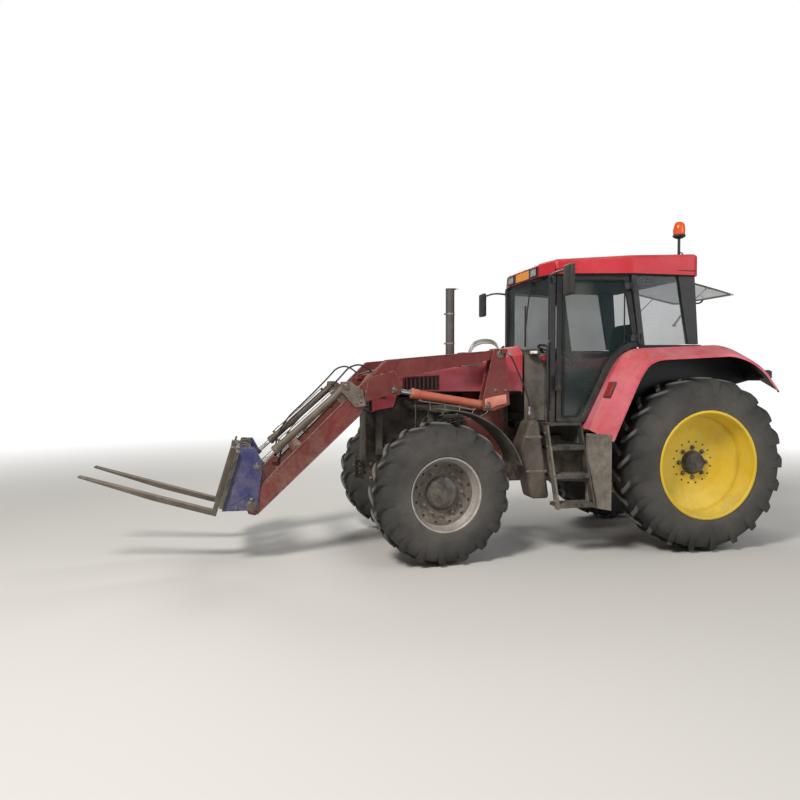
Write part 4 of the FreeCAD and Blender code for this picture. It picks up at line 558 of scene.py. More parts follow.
# %% Build the rims
RIMS = {
    "rear": {
        "rim": [(0.196, 0.490), (0.207, 0.492), (0.213, 0.502), (0.212, 0.515), (0.205, 0.521), (0.200, 0.514),
                (0.197, 0.502), (0.130, 0.498), (0.105, 0.470), (-0.105, 0.470), (-0.130, 0.498), (-0.197, 0.502),
                (-0.200, 0.514), (-0.205, 0.521), (-0.212, 0.515), (-0.213, 0.502), (-0.207, 0.492),
                (-0.196, 0.490), (-0.126, 0.488), (-0.100, 0.460), (0.100, 0.460), (0.126, 0.488), (0.196, 0.490)],
        "disc": [(0.020, 0.462), (0.022, 0.440), (0.006, 0.415), (-0.030, 0.365), (-0.052, 0.330),
                 (-0.060, 0.300), (-0.060, 0.060), (-0.074, 0.060), (-0.074, 0.300), (-0.066, 0.334),
                 (-0.044, 0.372), (-0.008, 0.422), (0.006, 0.445), (0.006, 0.462), (0.020, 0.462)],
        "hub": [(-0.060, 0.118), (-0.046, 0.116), (-0.040, 0.104), (-0.004, 0.098), (0.004, 0.090),
                (0.009, 0.060), (0.010, 0.0)],
        "nuts": (8, 0.146, -0.060, 0.016), "holes": (16, 0.205, -0.0598, 0.009)},
    "front": {
        "rim": [(0.157, 0.316), (0.166, 0.318), (0.172, 0.326), (0.171, 0.338), (0.165, 0.343), (0.160, 0.338),
                (0.157, 0.328), (0.110, 0.324), (0.085, 0.296), (-0.085, 0.296), (-0.110, 0.324), (-0.157, 0.328),
                (-0.160, 0.338), (-0.165, 0.343), (-0.171, 0.338), (-0.172, 0.326), (-0.166, 0.318),
                (-0.157, 0.316), (-0.106, 0.315), (-0.080, 0.286), (0.080, 0.286), (0.106, 0.315), (0.157, 0.316)],
        "disc": [(0.074, 0.290), (0.074, 0.270), (0.064, 0.250), (0.046, 0.238), (0.040, 0.226), (0.040, 0.100),
                 (0.028, 0.100), (0.028, 0.226), (0.034, 0.242), (0.052, 0.256), (0.060, 0.272), (0.060, 0.290),
                 (0.074, 0.290)],
        "hub": [(0.040, 0.150), (0.066, 0.146), (0.078, 0.134), (0.094, 0.126), (0.100, 0.110), (0.112, 0.070),
                (0.115, 0.0)],
        "nuts": (12, 0.196, 0.040, 0.014), "holes": (12, 0.262, 0.0716, 0.013)},
}
yellow_paint = weathered("yellow_paint", (0.66, 0.43, 0.012), (0.72, 0.52, 0.06), rough=0.38, low=0.16, high=0.04,
                         dust=(0.36, 0.29, 0.14), edge=(0.35, 0.28, 0.15), patch=3.0, streak=0.3)
silver_paint = weathered("silver_paint", (0.42, 0.41, 0.40), (0.56, 0.55, 0.53), rough=0.4, metal=0.5, low=0.45,
                         high=0.2, dust=(0.26, 0.19, 0.14), edge=(0.3, 0.16, 0.09), patch=5.0)
rusty_disc = weathered("rusty_disc", (0.04, 0.036, 0.034), (0.10, 0.085, 0.075), rough=0.6, low=0.35, high=0.2,
                       edge=(0.3, 0.2, 0.14), speck=70, bump=0.35)


def joined(parts):
    """Several bmeshes as one."""
    whole = bmesh.new()
    for part in parts:
        loose = bpy.data.meshes.new("loose")
        part.to_mesh(loose)
        part.free()
        whole.from_mesh(loose)
        bpy.data.meshes.remove(loose)
    return whole


def prism(sides, radius, start, end, top=None):
    """A cone or prism with its axis along Y, from one place across to another."""
    bm = bmesh.new()
    bmesh.ops.create_cone(bm, cap_ends=True, segments=sides, radius1=radius, radius2=radius if top is None else top,
                          depth=end - start)
    bmesh.ops.rotate(bm, cent=(0, 0, 0), matrix=Matrix.Rotation(-math.pi / 2, 3, "X"), verts=bm.verts)
    bmesh.ops.translate(bm, vec=(0, (start + end) / 2, 0), verts=bm.verts)
    return bm


def ring_of(count, radius, make, offset=0.0):
    parts = []
    for number in range(count):
        one = make()
        bmesh.ops.translate(one, vec=(0, 0, radius), verts=one.verts)
        bmesh.ops.rotate(one, cent=(0, 0, 0), verts=one.verts,
                         matrix=Matrix.Rotation(2 * math.pi * (number + offset) / count, 3, "Y"))
        parts.append(one)
    return joined(parts)


for (end, side), place in WHEELS.items():
    r, body = RIMS[end], "%s_wheel_%s" % (end, side)
    paint = yellow_paint if end == "rear" else silver_paint
    disc = yellow_paint if end == "rear" else rusty_disc
    keep(spun(r["rim"]), "%s_rim_%s_band" % (end, side), body, paint, replaces=("%s_rim_%s" % (end, side),), corner=60, place=place)
    keep(spun(r["disc"]), "%s_disc_%s" % (end, side), body, disc, corner=60, place=place)
    keep(spun(r["hub"], 48), "%s_hub_%s" % (end, side), body, black_paint, corner=40, place=place)
    count, circle, face, size = r["nuts"]
    studs = joined([ring_of(count, circle, lambda: prism(20, size * 1.5, face - 0.002, face + 0.004)),
                    ring_of(count, circle, lambda: prism(6, size, face, face + 0.022, size * 0.96)),
                    ring_of(count, circle, lambda: prism(12, size * 0.5, face, face + 0.036))])
    keep(studs, "%s_nuts_%s" % (end, side), body, rust_steel, corner=30, place=place)
    # The holes in the disc are black discs: painted shade where each hole shows the dark inside of the wheel.
    count, circle, face, size = r["holes"]
    keep(ring_of(count, circle, lambda: prism(16, size, face - 0.002, face + 0.001), 0.5),
         "%s_disc_holes_%s" % (end, side), body, seal_rubber, place=place)

# %% [markdown]
# Most small parts of a machine are plates, bars, pins, bolts and bent pipes. Each helper below makes one
# of these from places on the tractor in metres, so that a bracket becomes a short list of simple parts.

# %% Helpers for small parts
def block(low, high):
    """A box between two corners."""
    bm = bmesh.new()
    low, high = at(*low), at(*high)
    bmesh.ops.create_cube(bm, size=1)
    bmesh.ops.scale(bm, vec=high - low, verts=bm.verts)
    bmesh.ops.translate(bm, vec=(high + low) / 2, verts=bm.verts)
    return bm


def turned(bm, degrees, axis, centre):
    bmesh.ops.rotate(bm, cent=at(*centre), verts=bm.verts, matrix=Matrix.Rotation(math.radians(degrees), 3, axis))
    return bm


def rod(start, end, radius, sides=20, top=None):
    """A round bar, or a cone, between two places."""
    start, end = at(*start), at(*end)
    run = end - start
    bm = bmesh.new()
    bmesh.ops.create_cone(bm, cap_ends=True, segments=sides, radius1=radius, radius2=radius if top is None else top,
                          depth=run.length)
    bmesh.ops.rotate(bm, cent=(0, 0, 0), matrix=run.to_track_quat("Z", "Y").to_matrix(), verts=bm.verts)
    bmesh.ops.translate(bm, vec=(start + end) / 2, verts=bm.verts)
    return bm


def plate(outline, y, thick):
    """A flat plate from its side view, at a place across the machine."""
    bm = bmesh.new()
    face = bm.faces.new([bm.verts.new(at(x, y, z)) for x, z in outline])
    grown = bmesh.ops.extrude_face_region(bm, geom=[face])
    moved = [part for part in grown["geom"] if isinstance(part, bmesh.types.BMVert)]
    bmesh.ops.translate(bm, vec=(0, thick, 0), verts=moved)
    return bm


def pipe(route, radius, closed=False, resolution=6):
    """A bent pipe whose bends are smooth: a curve along the route, turned into a mesh."""
    line = bpy.data.curves.new("pipe", "CURVE")
    line.dimensions = "3D"
    line.bevel_depth = radius
    line.bevel_resolution = 3
    line.use_fill_caps = True
    spline = line.splines.new("NURBS")
    spline.points.add(len(route) - 1)
    for point, place in zip(spline.points, route):
        point.co = (*at(*place), 1)
    spline.order_u = 3
    spline.use_endpoint_u = not closed
    spline.use_cyclic_u = closed
    spline.resolution_u = resolution
    holder = bpy.data.objects.new("pipe", line)
    mesh = bpy.data.meshes.new_from_object(holder)
    bm = bmesh.new()
    bm.from_mesh(mesh)
    bpy.data.objects.remove(holder)
    bpy.data.curves.remove(line)
    bpy.data.meshes.remove(mesh)
    return bm


def bolt(place, direction, size=0.012):
    """A washer and a hexagon head that stand on a face."""
    place, direction = Vector(place), Vector(direction).normalized()
    return joined([rod(place, place + direction * size * 0.3, size * 1.35, 16),
                   rod(place, place + direction * size * 1.1, size, 6),
                   rod(place, place + direction * size * 1.7, size * 0.5, 10)])


def sides(bm):
    """The same part again on the machine's other side."""
    other = bm.copy()
    bmesh.ops.scale(other, vec=(1, -1, 1), verts=other.verts)
    return joined([bm, other])


# %% [markdown]
# The roof is a moulded shell with rounded edges. Its outline is drawn from above and pulled up to the
# sloping top. One bevel then rounds the top edge and the corners together, as the mould would, and a
# rubber gutter closes the gap to the frame under it.

# %% Roof
ROOF_PLAN = [(-0.04, 0.76), (0.02, 0.825), (0.695, 0.825), (1.40, 0.64), (1.465, 0.40)]
ROOF_LOW = 2.66


def roof_top(x):
    return 2.87 - (x + 0.04) * 0.0498


def roof_outline(inset, low, high=None):
    """The roof's plan drawn smaller by an inset, from a low height up to a high one or to the top."""
    plan = [(x, y - inset) for x, y in ROOF_PLAN]
    plan[0] = (plan[0][0] + inset, plan[0][1])
    plan[-1] = (plan[-1][0] - inset, plan[-1][1])
    bm = bmesh.new()
    face = bm.faces.new([bm.verts.new(at(x, y, low)) for x, y in plan + [(x, -y) for x, y in plan[::-1]]])
    grown = bmesh.ops.extrude_face_region(bm, geom=[face])
    for part in grown["geom"]:
        if isinstance(part, bmesh.types.BMVert):
            part.co.z = roof_top(part.co.x - AXLE_X) if high is None else high
    return bm


shell = roof_outline(0.0, ROOF_LOW)
bmesh.ops.recalc_face_normals(shell, faces=shell.faces)
round_edges = [e for e in shell.edges if max(v.co.z for v in e.verts) > ROOF_LOW + 0.05]
bmesh.ops.bevel(shell, geom=round_edges, offset=0.034, segments=4, profile=0.5, affect="EDGES", material=-1)
keep(shell, "roof_shell", "chassis", roof_paint, replaces=("cab_roof",), corner=40)
keep(roof_outline(0.018, 2.648, 2.662), "roof_gutter", "chassis", seal_rubber, corner=30)
visor = joined([block((1.395, -0.38, 2.640), (1.440, 0.38, 2.662)),
                block((0.75, -0.70, 2.640), (0.79, 0.70, 2.655))])
keep(visor, "roof_underside", "chassis", black_plastic, bevel=0.004)
side_seam = joined([
    pipe([(0.03, 0.826, 2.700), (0.69, 0.826, 2.700), (1.395, 0.642, 2.700)], 0.0035, resolution=12),
    pipe([(1.398, 0.640, 2.665), (1.398, 0.640, 2.74), (1.385, 0.60, 2.79), (1.37, 0.30, 2.801)], 0.0035)])
keep(sides(side_seam), "roof_seams", "chassis", seal_rubber)

# %% [markdown]
# Two work lamps and a bare amber plate sit in the roof's nose. A lamp is a dark housing with a bowl, two
# bulbs and a pane in front. The plate once carried words, and stays bare here.

# %% Roof lamps and amber plate
LAMP_Z = 2.7125


def frame_of(low, high, rim, deep):
    """A thin frame that faces forwards, with its opening, from four bars."""
    (x, y0, z0), (x1, y1, z1) = low, high
    return joined([block((x, y0, z0), (x1, y0 + rim, z1)), block((x, y1 - rim, z0), (x1, y1, z1)),
                   block((x, y0, z0), (x1, y1, z0 + rim)), block((x, y0, z1 - rim), (x1, y1, z1)),
                   block((x, y0, z0), (x + deep, y1, z1))])


housing = sides(frame_of((1.452, 0.215, LAMP_Z - 0.045), (1.487, 0.385, LAMP_Z + 0.045), 0.012, 0.010))
keep(housing, "lamp_housings", "chassis", black_plastic, replaces=("roof_lamps",), bevel=0.003)
bulbs = joined([rod((1.463, y, LAMP_Z), (1.478, y, LAMP_Z), 0.026, 24, 0.036) for y in (0.262, 0.338)])
keep(sides(bulbs), "lamp_reflectors", "chassis", mirror_face, corner=30)
pane = block((1.480, 0.226, LAMP_Z - 0.034), (1.4835, 0.374, LAMP_Z + 0.034))
keep(sides(pane), "lamp_panes", "chassis", clear_pane)
keep(block((1.463, -0.178, LAMP_Z - 0.043), (1.474, 0.178, LAMP_Z + 0.043)), "amber_plate", "chassis",
     amber_lens, bevel=0.004)
keep(frame_of((1.460, -0.185, LAMP_Z - 0.05), (1.4765, 0.185, LAMP_Z + 0.05), 0.006, 0.002), "amber_frame",
     "chassis", black_plastic, bevel=0.002)

# %% [markdown]
# The beacon stands on a stalk that is clamped to the roof's side. Its lens is spun, with a stepped foot
# and a rounded top, and a dark socket holds it.

# %% Beacon
def spun_up(profile, centre, steps=40):
    """A line of (radius, height) points turned about an upright axis."""
    bm = bmesh.new()
    dots = [bm.verts.new(at(centre[0] + radius, centre[1], height)) for radius, height in profile]
    lines = [bm.edges.new(two) for two in zip(dots, dots[1:])]
    bmesh.ops.spin(bm, geom=dots + lines, cent=at(*centre), axis=(0, 0, 1), dvec=(0, 0, 0),
                   angle=2 * math.pi, steps=steps, use_merge=True)
    return bm


BEACON = (0.06, 0.60, 3.0)
dome = spun_up([(0.0, 3.086), (0.052, 3.086), (0.055, 3.092), (0.057, 3.110), (0.0575, 3.150), (0.053, 3.185),
                (0.040, 3.206), (0.020, 3.216), (0.0, 3.2185)], BEACON)
keep(dome, "beacon_dome", "chassis", beacon_lens, replaces=("beacon",), corner=50)
foot = joined([spun_up([(0.0, 3.052), (0.030, 3.052), (0.048, 3.062), (0.061, 3.070), (0.0615, 3.084),
                        (0.057, 3.090), (0.0, 3.090)], BEACON),
               rod((0.06, 0.60, 2.86), (0.06, 0.60, 3.056), 0.0135),
               rod((0.06, 0.60, 2.862), (0.06, 0.60, 2.885), 0.032, 24),
               pipe([(0.06, 0.60, 2.91), (0.06, 0.63, 2.91), (0.06, 0.665, 2.895), (0.06, 0.68, 2.855)], 0.007)])
keep(foot, "beacon_foot", "chassis", black_plastic, corner=40)
print("roof, lamps and beacon done")

# %% [markdown]
# The mirror hangs on a bent arm from the corner of the cab. Its housing is a soft box, so all of its edges
# get one wide bevel, and the glass lies in the side that the driver sees.

# %% Mirror
shell = block((1.481, 1.070, 2.395), (1.528, 1.232, 2.668))
bmesh.ops.bevel(shell, geom=shell.edges[:], offset=0.018, segments=4, profile=0.5, affect="EDGES", material=-1)
keep(sides(shell), "mirror_housing", "chassis", black_plastic, replaces=("mirrors",), corner=50)
keep(sides(block((1.4802, 1.092, 2.417), (1.486, 1.210, 2.646))), "mirror_glass", "chassis", mirror_face,
     bevel=0.002)
arm = joined([pipe([(1.41, 0.605, 2.60), (1.47, 0.66, 2.615), (1.505, 0.80, 2.63), (1.505, 1.02, 2.63),
                    (1.505, 1.15, 2.62), (1.505, 1.15, 2.44)], 0.011),
              block((1.385, 0.575, 2.575), (1.425, 0.620, 2.64)),
              bolt((1.405, 0.620, 2.625), (0, 1, 0), 0.009), bolt((1.405, 0.620, 2.59), (0, 1, 0), 0.009)])
keep(sides(arm), "mirror_arm", "chassis", black_paint, corner=40)

# %% [markdown]
# The cab's side slants towards the bonnet. Everything on the door is placed along the door's own line, so
# a helper turns a distance along it, a step outwards and a height into a place on the tractor.

# %% Doors: seals, handles and hinges
DOOR_TURN = math.atan2(0.2, 0.83)


def on_door(along, out, z, side=1):
    x = 0.6 + along * math.cos(DOOR_TURN) + out * math.sin(DOOR_TURN)
    y = 0.8 - along * math.sin(DOOR_TURN) + out * math.cos(DOOR_TURN)
    return (x, side * y, z)


WINDOW = [(0.150, 2.600), (0.730, 2.600), (0.730, 1.300), (0.600, 1.300), (0.335, 1.830), (0.150, 2.000)]


def tight(corners, reach=0.03):
    """A closed line with a point on each side of every corner, so that a curve only bends there."""
    route = []
    for number, corner in enumerate(corners):
        here = Vector(corner)
        for other in (corners[number - 1], None, corners[(number + 1) % len(corners)]):
            aim = here if other is None else here + (Vector(other) - here).normalized() * reach
            route.append(tuple(aim))
    return route


for side, word in ((1, "left"), (-1, "right")):
    seal = pipe([on_door(s, 0.006, z, side) for s, z in tight(WINDOW)], 0.007, closed=True, resolution=8)
    latch = joined([block((-0.03, -0.012, -0.075), (0.03, 0.012, 0.075)),
                    block((-0.012, 0.006, -0.055), (0.012, 0.034, -0.035)),
                    block((-0.012, 0.024, -0.055), (0.012, 0.036, 0.060))])
    bmesh.ops.translate(latch, vec=-at(0, 0, 0), verts=latch.verts)
    bmesh.ops.rotate(latch, cent=(0, 0, 0), verts=latch.verts, matrix=Matrix.Rotation(-DOOR_TURN, 3, "Z"))
    bmesh.ops.translate(latch, vec=at(*on_door(0.775, 0.012, 1.62)), verts=latch.verts)
    inner = pipe([on_door(0.765, -0.045, 1.80), on_door(0.765, -0.085, 1.81), on_door(0.68, -0.09, 1.825),
                  on_door(0.55, -0.09, 1.825), on_door(0.50, -0.045, 1.82)], 0.010)
    trim = joined([latch, inner])
    if side < 0:
        bmesh.ops.scale(trim, vec=(1, -1, 1), verts=trim.verts)
    keep(seal, "door_seal_" + word, "door_" + word, seal_rubber)
    keep(trim, "door_latch_" + word, "door_" + word, black_plastic, bevel=0.003)
rails = joined([
    pipe([(1.438, 0.605, 2.02), (1.470, 0.635, 2.00), (1.475, 0.640, 1.90), (1.475, 0.640, 1.50),
          (1.470, 0.635, 1.40), (1.438, 0.605, 1.38)], 0.012),
    pipe([(0.585, 0.806, 2.02), (0.585, 0.806, 2.10)], 0.014)])
keep(sides(rails), "grab_rails", "chassis", black_paint, corner=40)

# %% [markdown]
# Between the bonnet and the cab a sheet panel slants back to the corner post. It is the same dusty grey as
# the front wall and carries a white marker lamp and a red one on its top edge. A wiper rests on the glass.

# %% Corner panels, marker lamps and wiper
corner_panel = bmesh.new()
outline = [(1.462, 0.548), (1.598, 0.372), (1.590, 0.366), (1.456, 0.540)]
face = corner_panel.faces.new([corner_panel.verts.new(at(x, y, 1.25)) for x, y in outline])
grown = bmesh.ops.extrude_face_region(corner_panel, geom=[face])
for part in grown["geom"]:
    if isinstance(part, bmesh.types.BMVert):
        part.co.z = 1.885 + 0.10 * (part.co.x - AXLE_X - 1.456)
bmesh.ops.subdivide_edges(corner_panel, edges=[e for e in corner_panel.edges if e.calc_length() > 0.4], cuts=3)
keep(sides(corner_panel), "corner_panels", "chassis", cab_grey, bevel=0.003)
sill = joined([plate([(-0.06, 1.950), (0.60, 1.928), (0.60, 1.982), (-0.06, 1.990)], 0.776, 0.028),
               block((1.445, 0.375, 1.165), (1.592, 0.545, 1.262))])
keep(sides(sill), "cab_sills", "chassis", seal_rubber, bevel=0.003)
brackets = joined([block((1.500, 0.478, 1.872), (1.560, 0.500, 1.905)), block((1.560, 0.44, 1.885), (1.590, 0.56, 1.90)),
                   block((1.470, 0.556, 1.80), (1.500, 0.575, 1.86))])
keep(sides(brackets), "marker_brackets", "chassis", black_plastic, bevel=0.003)
white_lamp = block((1.556, 0.500, 1.898), (1.596, 0.600, 1.926))
keep(sides(white_lamp), "marker_lamps", "chassis", lamp_glass, bevel=0.006)
red_lamp = block((1.474, 0.572, 1.832), (1.512, 0.620, 1.888))
keep(sides(red_lamp), "side_reflectors", "chassis", red_lens, bevel=0.005)
wiper = joined([rod((1.405, 0.12, 2.625), (1.432, 0.12, 2.625), 0.016),
                pipe([(1.432, 0.12, 2.625), (1.440, 0.10, 2.50), (1.424, -0.02, 2.18)], 0.006),
                block((1.4125, -0.055, 1.99), (1.424, -0.030, 2.42))])
keep(wiper, "wiper", "chassis", black_plastic, corner=40)

# %% [markdown]
# The photograph shows the rear window swung up on its gas struts. It is a curved pane with a dark printed
# border, a handle at its lower edge and two struts down to the frame.

# %% Rear window trim
HATCH = (-0.01, 2.66)
TILT_BACK = math.radians(78)


def on_hatch(down, y, out=0.0):
    """A place on the open rear window: down from its hinge, across, and out from the pane."""
    x = HATCH[0] - down * math.sin(TILT_BACK) + out * math.cos(TILT_BACK)
    return (x, y, HATCH[1] - down * math.cos(TILT_BACK) - out * math.sin(TILT_BACK))


border = joined([pipe([on_hatch(0.02, -0.512), on_hatch(0.02, 0.512)], 0.009),
                 pipe([on_hatch(0.02, -0.512), on_hatch(0.62, -0.512), on_hatch(0.632, -0.44),
                       on_hatch(0.632, 0.44), on_hatch(0.62, 0.512), on_hatch(0.02, 0.512)], 0.009),
                 pipe([on_hatch(0.60, -0.07, 0.02), on_hatch(0.60, -0.06, 0.05), on_hatch(0.60, 0.06, 0.05),
                       on_hatch(0.60, 0.07, 0.02)], 0.009)])
keep(border, "rear_window_frame", "chassis", black_plastic, corner=40)
struts = joined([rod((0.02, 0.47, 2.20), (-0.12, 0.475, 2.38), 0.011),
                 rod((-0.12, 0.475, 2.38), on_hatch(0.34, 0.48, 0.006), 0.005),
                 rod((0.02, 0.46, 2.20), (0.02, 0.50, 2.20), 0.012)])
keep(sides(struts), "rear_window_struts", "chassis", dull_steel, corner=40)

# %% [markdown]
# Seen through the glass are a sprung seat with a high back, the steering wheel on its column and a side
# console with levers. The cushions are foam under cloth: each is a rounded block whose sides bulge and
# whose seams are drawn in, made by dividing a box, pushing its points out and smoothing it.

# %% Seat
def cushion(low, high, crown, cuts=6):
    """A stuffed block: soft corners, and faces that rise towards their middles."""
    bm = bmesh.new()
    bmesh.ops.create_cube(bm, size=2)
    bmesh.ops.subdivide_edges(bm, edges=bm.edges[:], cuts=cuts, use_grid_fill=True)
    low, high = at(*low), at(*high)
    half, middle = (high - low) / 2, (high + low) / 2
    for v in bm.verts:
        x, y, z = v.co
        pull = Vector((x * (1 - 0.10 * abs(y) ** 6 - 0.10 * abs(z) ** 6), y * (1 - 0.10 * abs(x) ** 6 - 0.10 * abs(z) ** 6),
                       z * (1 - 0.10 * abs(x) ** 6 - 0.10 * abs(y) ** 6)))
        swell = Vector((crown[0] * x * (1 - y * y) * (1 - z * z), crown[1] * y * (1 - x * x) * (1 - z * z),
                        crown[2] * z * (1 - x * x) * (1 - y * y)))
        seam = 1 - 0.05 * math.exp(-((abs(y) - 0.55) / 0.08) ** 2)
        v.co = middle + Vector(((pull.x + swell.x) * half.x * seam, (pull.y + swell.y) * half.y,
                                (pull.z + swell.z) * half.z * seam))
    return bm


def soft(piece):
    smoother = piece.modifiers.new("smooth", "SUBSURF")
    smoother.levels = 2
    smoother.render_levels = 2
    return piece


seat_low = cushion((0.34, -0.236, 1.595), (0.79, 0.236, 1.698), (0.0, 0.0, 0.10))
soft(keep(seat_low, "seat_cushion", "chassis", cloth, replaces=("driver_seat",), corner=180))
seat_back = cushion((0.300, -0.225, 1.70), (0.415, 0.225, 2.235), (0.12, 0.0, 0.0))
turned(seat_back, -7, "Y", (0.36, 0, 1.70))
soft(keep(seat_back, "seat_back", "chassis", cloth, corner=180))
seat_frame = joined([block((0.36, -0.20, 1.565), (0.77, 0.20, 1.592)), block((0.40, -0.15, 1.245), (0.72, 0.15, 1.29)),
                     turned(block((0.345, -0.018, 1.42), (0.785, 0.018, 1.45)), 25, "Y", (0.56, 0, 1.43)),
                     turned(block((0.345, -0.018, 1.42), (0.785, 0.018, 1.45)), -25, "Y", (0.56, 0, 1.43))])
keep(seat_frame, "seat_frame", "chassis", black_paint, bevel=0.004)
bellows = bmesh.new()
bmesh.ops.create_cube(bellows, size=1)
bmesh.ops.subdivide_edges(bellows, edges=[e for e in bellows.edges if abs(e.verts[0].co.z - e.verts[1].co.z) > 0.5],
                          cuts=9)
for v in bellows.verts:
    fold = 1.0 if round((v.co.z + 0.5) * 10) % 2 else 0.88
    v.co = at(0.56 + v.co.x * 0.34 * fold, v.co.y * 0.34 * fold, 1.43 + v.co.z * 0.27)
keep(bellows, "seat_bellows", "chassis", seal_rubber, bevel=0.006)
arm_rest = cushion((0.42, 0.235, 1.885), (0.70, 0.240, 1.935), (0, 0, 0))
bmesh.ops.scale(arm_rest, vec=(1, 12, 1), space=Matrix.Translation(-at(0, 0.2375, 0)), verts=arm_rest.verts)
soft(keep(sides(arm_rest), "arm_rests", "chassis", cloth, corner=180))

# %% [markdown]
# The steering wheel is a ring with three spokes on a slanted shaft, over a column with a dash on top.

# %% Steering wheel, dash and levers
wheel_rim = bmesh.new()
bmesh.ops.create_circle(wheel_rim, segments=14, radius=0.0135)
bmesh.ops.rotate(wheel_rim, cent=(0, 0, 0), matrix=Matrix.Rotation(math.pi / 2, 3, "X"), verts=wheel_rim.verts)
bmesh.ops.translate(wheel_rim, vec=(0.2, 0, 0), verts=wheel_rim.verts)
bmesh.ops.spin(wheel_rim, geom=wheel_rim.verts[:] + wheel_rim.edges[:], cent=(0, 0, 0), axis=(0, 0, 1),
               dvec=(0, 0, 0), angle=2 * math.pi, steps=64, use_merge=True)
parts = [wheel_rim]
for number in range(3):
    spoke = bmesh.new()
    bmesh.ops.create_cube(spoke, size=1)
    bmesh.ops.scale(spoke, vec=(0.17, 0.034, 0.010), verts=spoke.verts)
    bmesh.ops.translate(spoke, vec=(0.105, 0, -0.002), verts=spoke.verts)
    bmesh.ops.rotate(spoke, cent=(0, 0, 0), verts=spoke.verts,
                     matrix=Matrix.Rotation(math.radians(90 + 120 * number), 3, "Z"))
    parts.append(spoke)
for radius, low, high in ((0.045, -0.012, 0.013), (0.026, -0.18, 0.0)):
    hub = bmesh.new()
    bmesh.ops.create_cone(hub, cap_ends=True, segments=32, radius1=radius, radius2=radius * 0.9, depth=high - low)
    bmesh.ops.translate(hub, vec=(0, 0, (high + low) / 2), verts=hub.verts)
    parts.append(hub)
wheel_place = Matrix.Translation(at(1.095, 0, 1.91)) @ Matrix.Rotation(math.radians(-30), 4, "Y")
keep(joined(parts), "steering_wheel_rim", "chassis", black_plastic, replaces=("steering_wheel",),
     corner=40, place=wheel_place)
column = plate([(1.13, 1.245), (1.425, 1.245), (1.425, 1.715), (1.30, 1.715), (1.15, 1.66), (1.125, 1.50)],
               -0.155, 0.31)
bmesh.ops.bevel(column, geom=column.edges[:], offset=0.02, segments=3, profile=0.5, affect="EDGES", material=-1)
keep(column, "steering_console", "chassis", cab_inside, replaces=("steering_column",), corner=50)
dash = plate([(1.20, 1.70), (1.42, 1.70), (1.42, 1.92), (1.33, 1.94), (1.215, 1.78)], -0.19, 0.38)
bmesh.ops.bevel(dash, geom=dash.edges[:], offset=0.018, segments=3, profile=0.5, affect="EDGES", material=-1)
keep(dash, "dash_pod", "chassis", cab_inside, corner=50)
dials = joined([turned(rod((1.246, y, 1.865), (1.262, y, 1.865), r, 28), 40, "Y", (1.254, y, 1.865))
                for y, r in ((-0.10, 0.038), (0.0, 0.052), (0.10, 0.038))])
keep(dials, "dash_dials", "chassis", mirror_face, corner=40)
console = plate([(0.30, 1.25), (1.05, 1.25), (1.00, 1.62), (0.90, 1.74), (0.42, 1.78), (0.30, 1.60)], -0.54, 0.24)
bmesh.ops.bevel(console, geom=console.edges[:], offset=0.025, segments=3, profile=0.5, affect="EDGES", material=-1)
keep(console, "side_console", "chassis", cab_inside, corner=50)
levers, knobs = [], []
for x, y, tall in ((0.52, -0.36, 0.16), (0.60, -0.36, 0.15), (0.68, -0.40, 0.17), (0.78, -0.36, 0.19), (0.86, -0.44, 0.13)):
    foot_z = 1.75
    levers.append(rod((x, y, foot_z - 0.03), (x + 0.02, y, foot_z + tall), 0.007, 12))
    knobs.append(rod((x + 0.018, y, foot_z + tall - 0.03), (x + 0.024, y, foot_z + tall + 0.03), 0.016, 16, 0.02))
keep(joined(levers), "levers", "chassis", dull_steel, corner=40)
keep(joined(knobs), "lever_knobs", "chassis", black_plastic, bevel=0.003)
pedals = joined([turned(block((1.22, y, 1.33), (1.235, y + 0.075, 1.42)), -25, "Y", (1.23, y, 1.37))
                 for y in (-0.30, -0.21, 0.19)])
keep(pedals, "pedals", "chassis", black_paint, bevel=0.003)
print("cab done")

# %% [markdown]
# The mudguards carry a dark bead along their outer edge, which is painted shade for the shadow line there,
# a sunk marker lamp in their front face and a tail lamp at the rear. The rear faces and the flaps are bolted on.

# %% Rear mudguard trim
WING = [(1.12, 1.18), (0.82, 1.85), (0.68, 1.95), (-0.29, 1.995), (-0.56, 1.89), (-0.76, 1.64)]


def wing_edge(y, drop, back):
    """The mudguard's line at a place across, smoothed by the curve that the pipe makes of it."""
    route = []
    for number, (x, z) in enumerate(WING):
        route.append((x - (back if number < 3 else 0.0), y, z - drop))
    (x0, _, z0), (x1, _, z1), (x2, _, z2), (x3, _, z3) = route[0], route[1], route[2], route[3]
    early = (x1 + (x0 - x1) * 0.32, y, z1 + (z0 - z1) * 0.32)
    late = (x2 + (x3 - x2) * 0.13, y, z2 + (z3 - z2) * 0.13)
    before_back = (x3 + (x2 - x3) * 0.13, y, z3 + (z2 - z3) * 0.13)
    return [route[0], early, route[1], route[2], late, before_back, route[3], route[4], route[5]]


# The dark bead is painted shade: it stands for the shadow line along the mudguard's outer edge.
bead = pipe(wing_edge(1.022, 0.108, 0.121), 0.008, resolution=10)
keep(sides(bead), "mudguard_shadow_beads", "chassis", seal_rubber)
# The front face slants up and back, and falls away outwards.
up = Vector((-0.30, 0, 0.67)).normalized()
out = Vector((-0.110, 0.23, 0)).normalized()
ahead = out.cross(up).normalized()
face_place = Matrix.Translation(at(0.929, 0.842, 1.555) + ahead * 0.002)
face_turn = Matrix((ahead, out, up)).transposed().to_4x4()


def on_face(bm):
    """Set a part, drawn ahead of X = 0, on the mudguard's front face."""
    bmesh.ops.transform(bm, matrix=face_place @ face_turn, verts=bm.verts)
    return bm


def local_block(low, high):
    bm = bmesh.new()
    bmesh.ops.create_cube(bm, size=1)
    low, high = Vector(low), Vector(high)
    bmesh.ops.scale(bm, vec=high - low, verts=bm.verts)
    bmesh.ops.translate(bm, vec=(high + low) / 2, verts=bm.verts)
    return bm


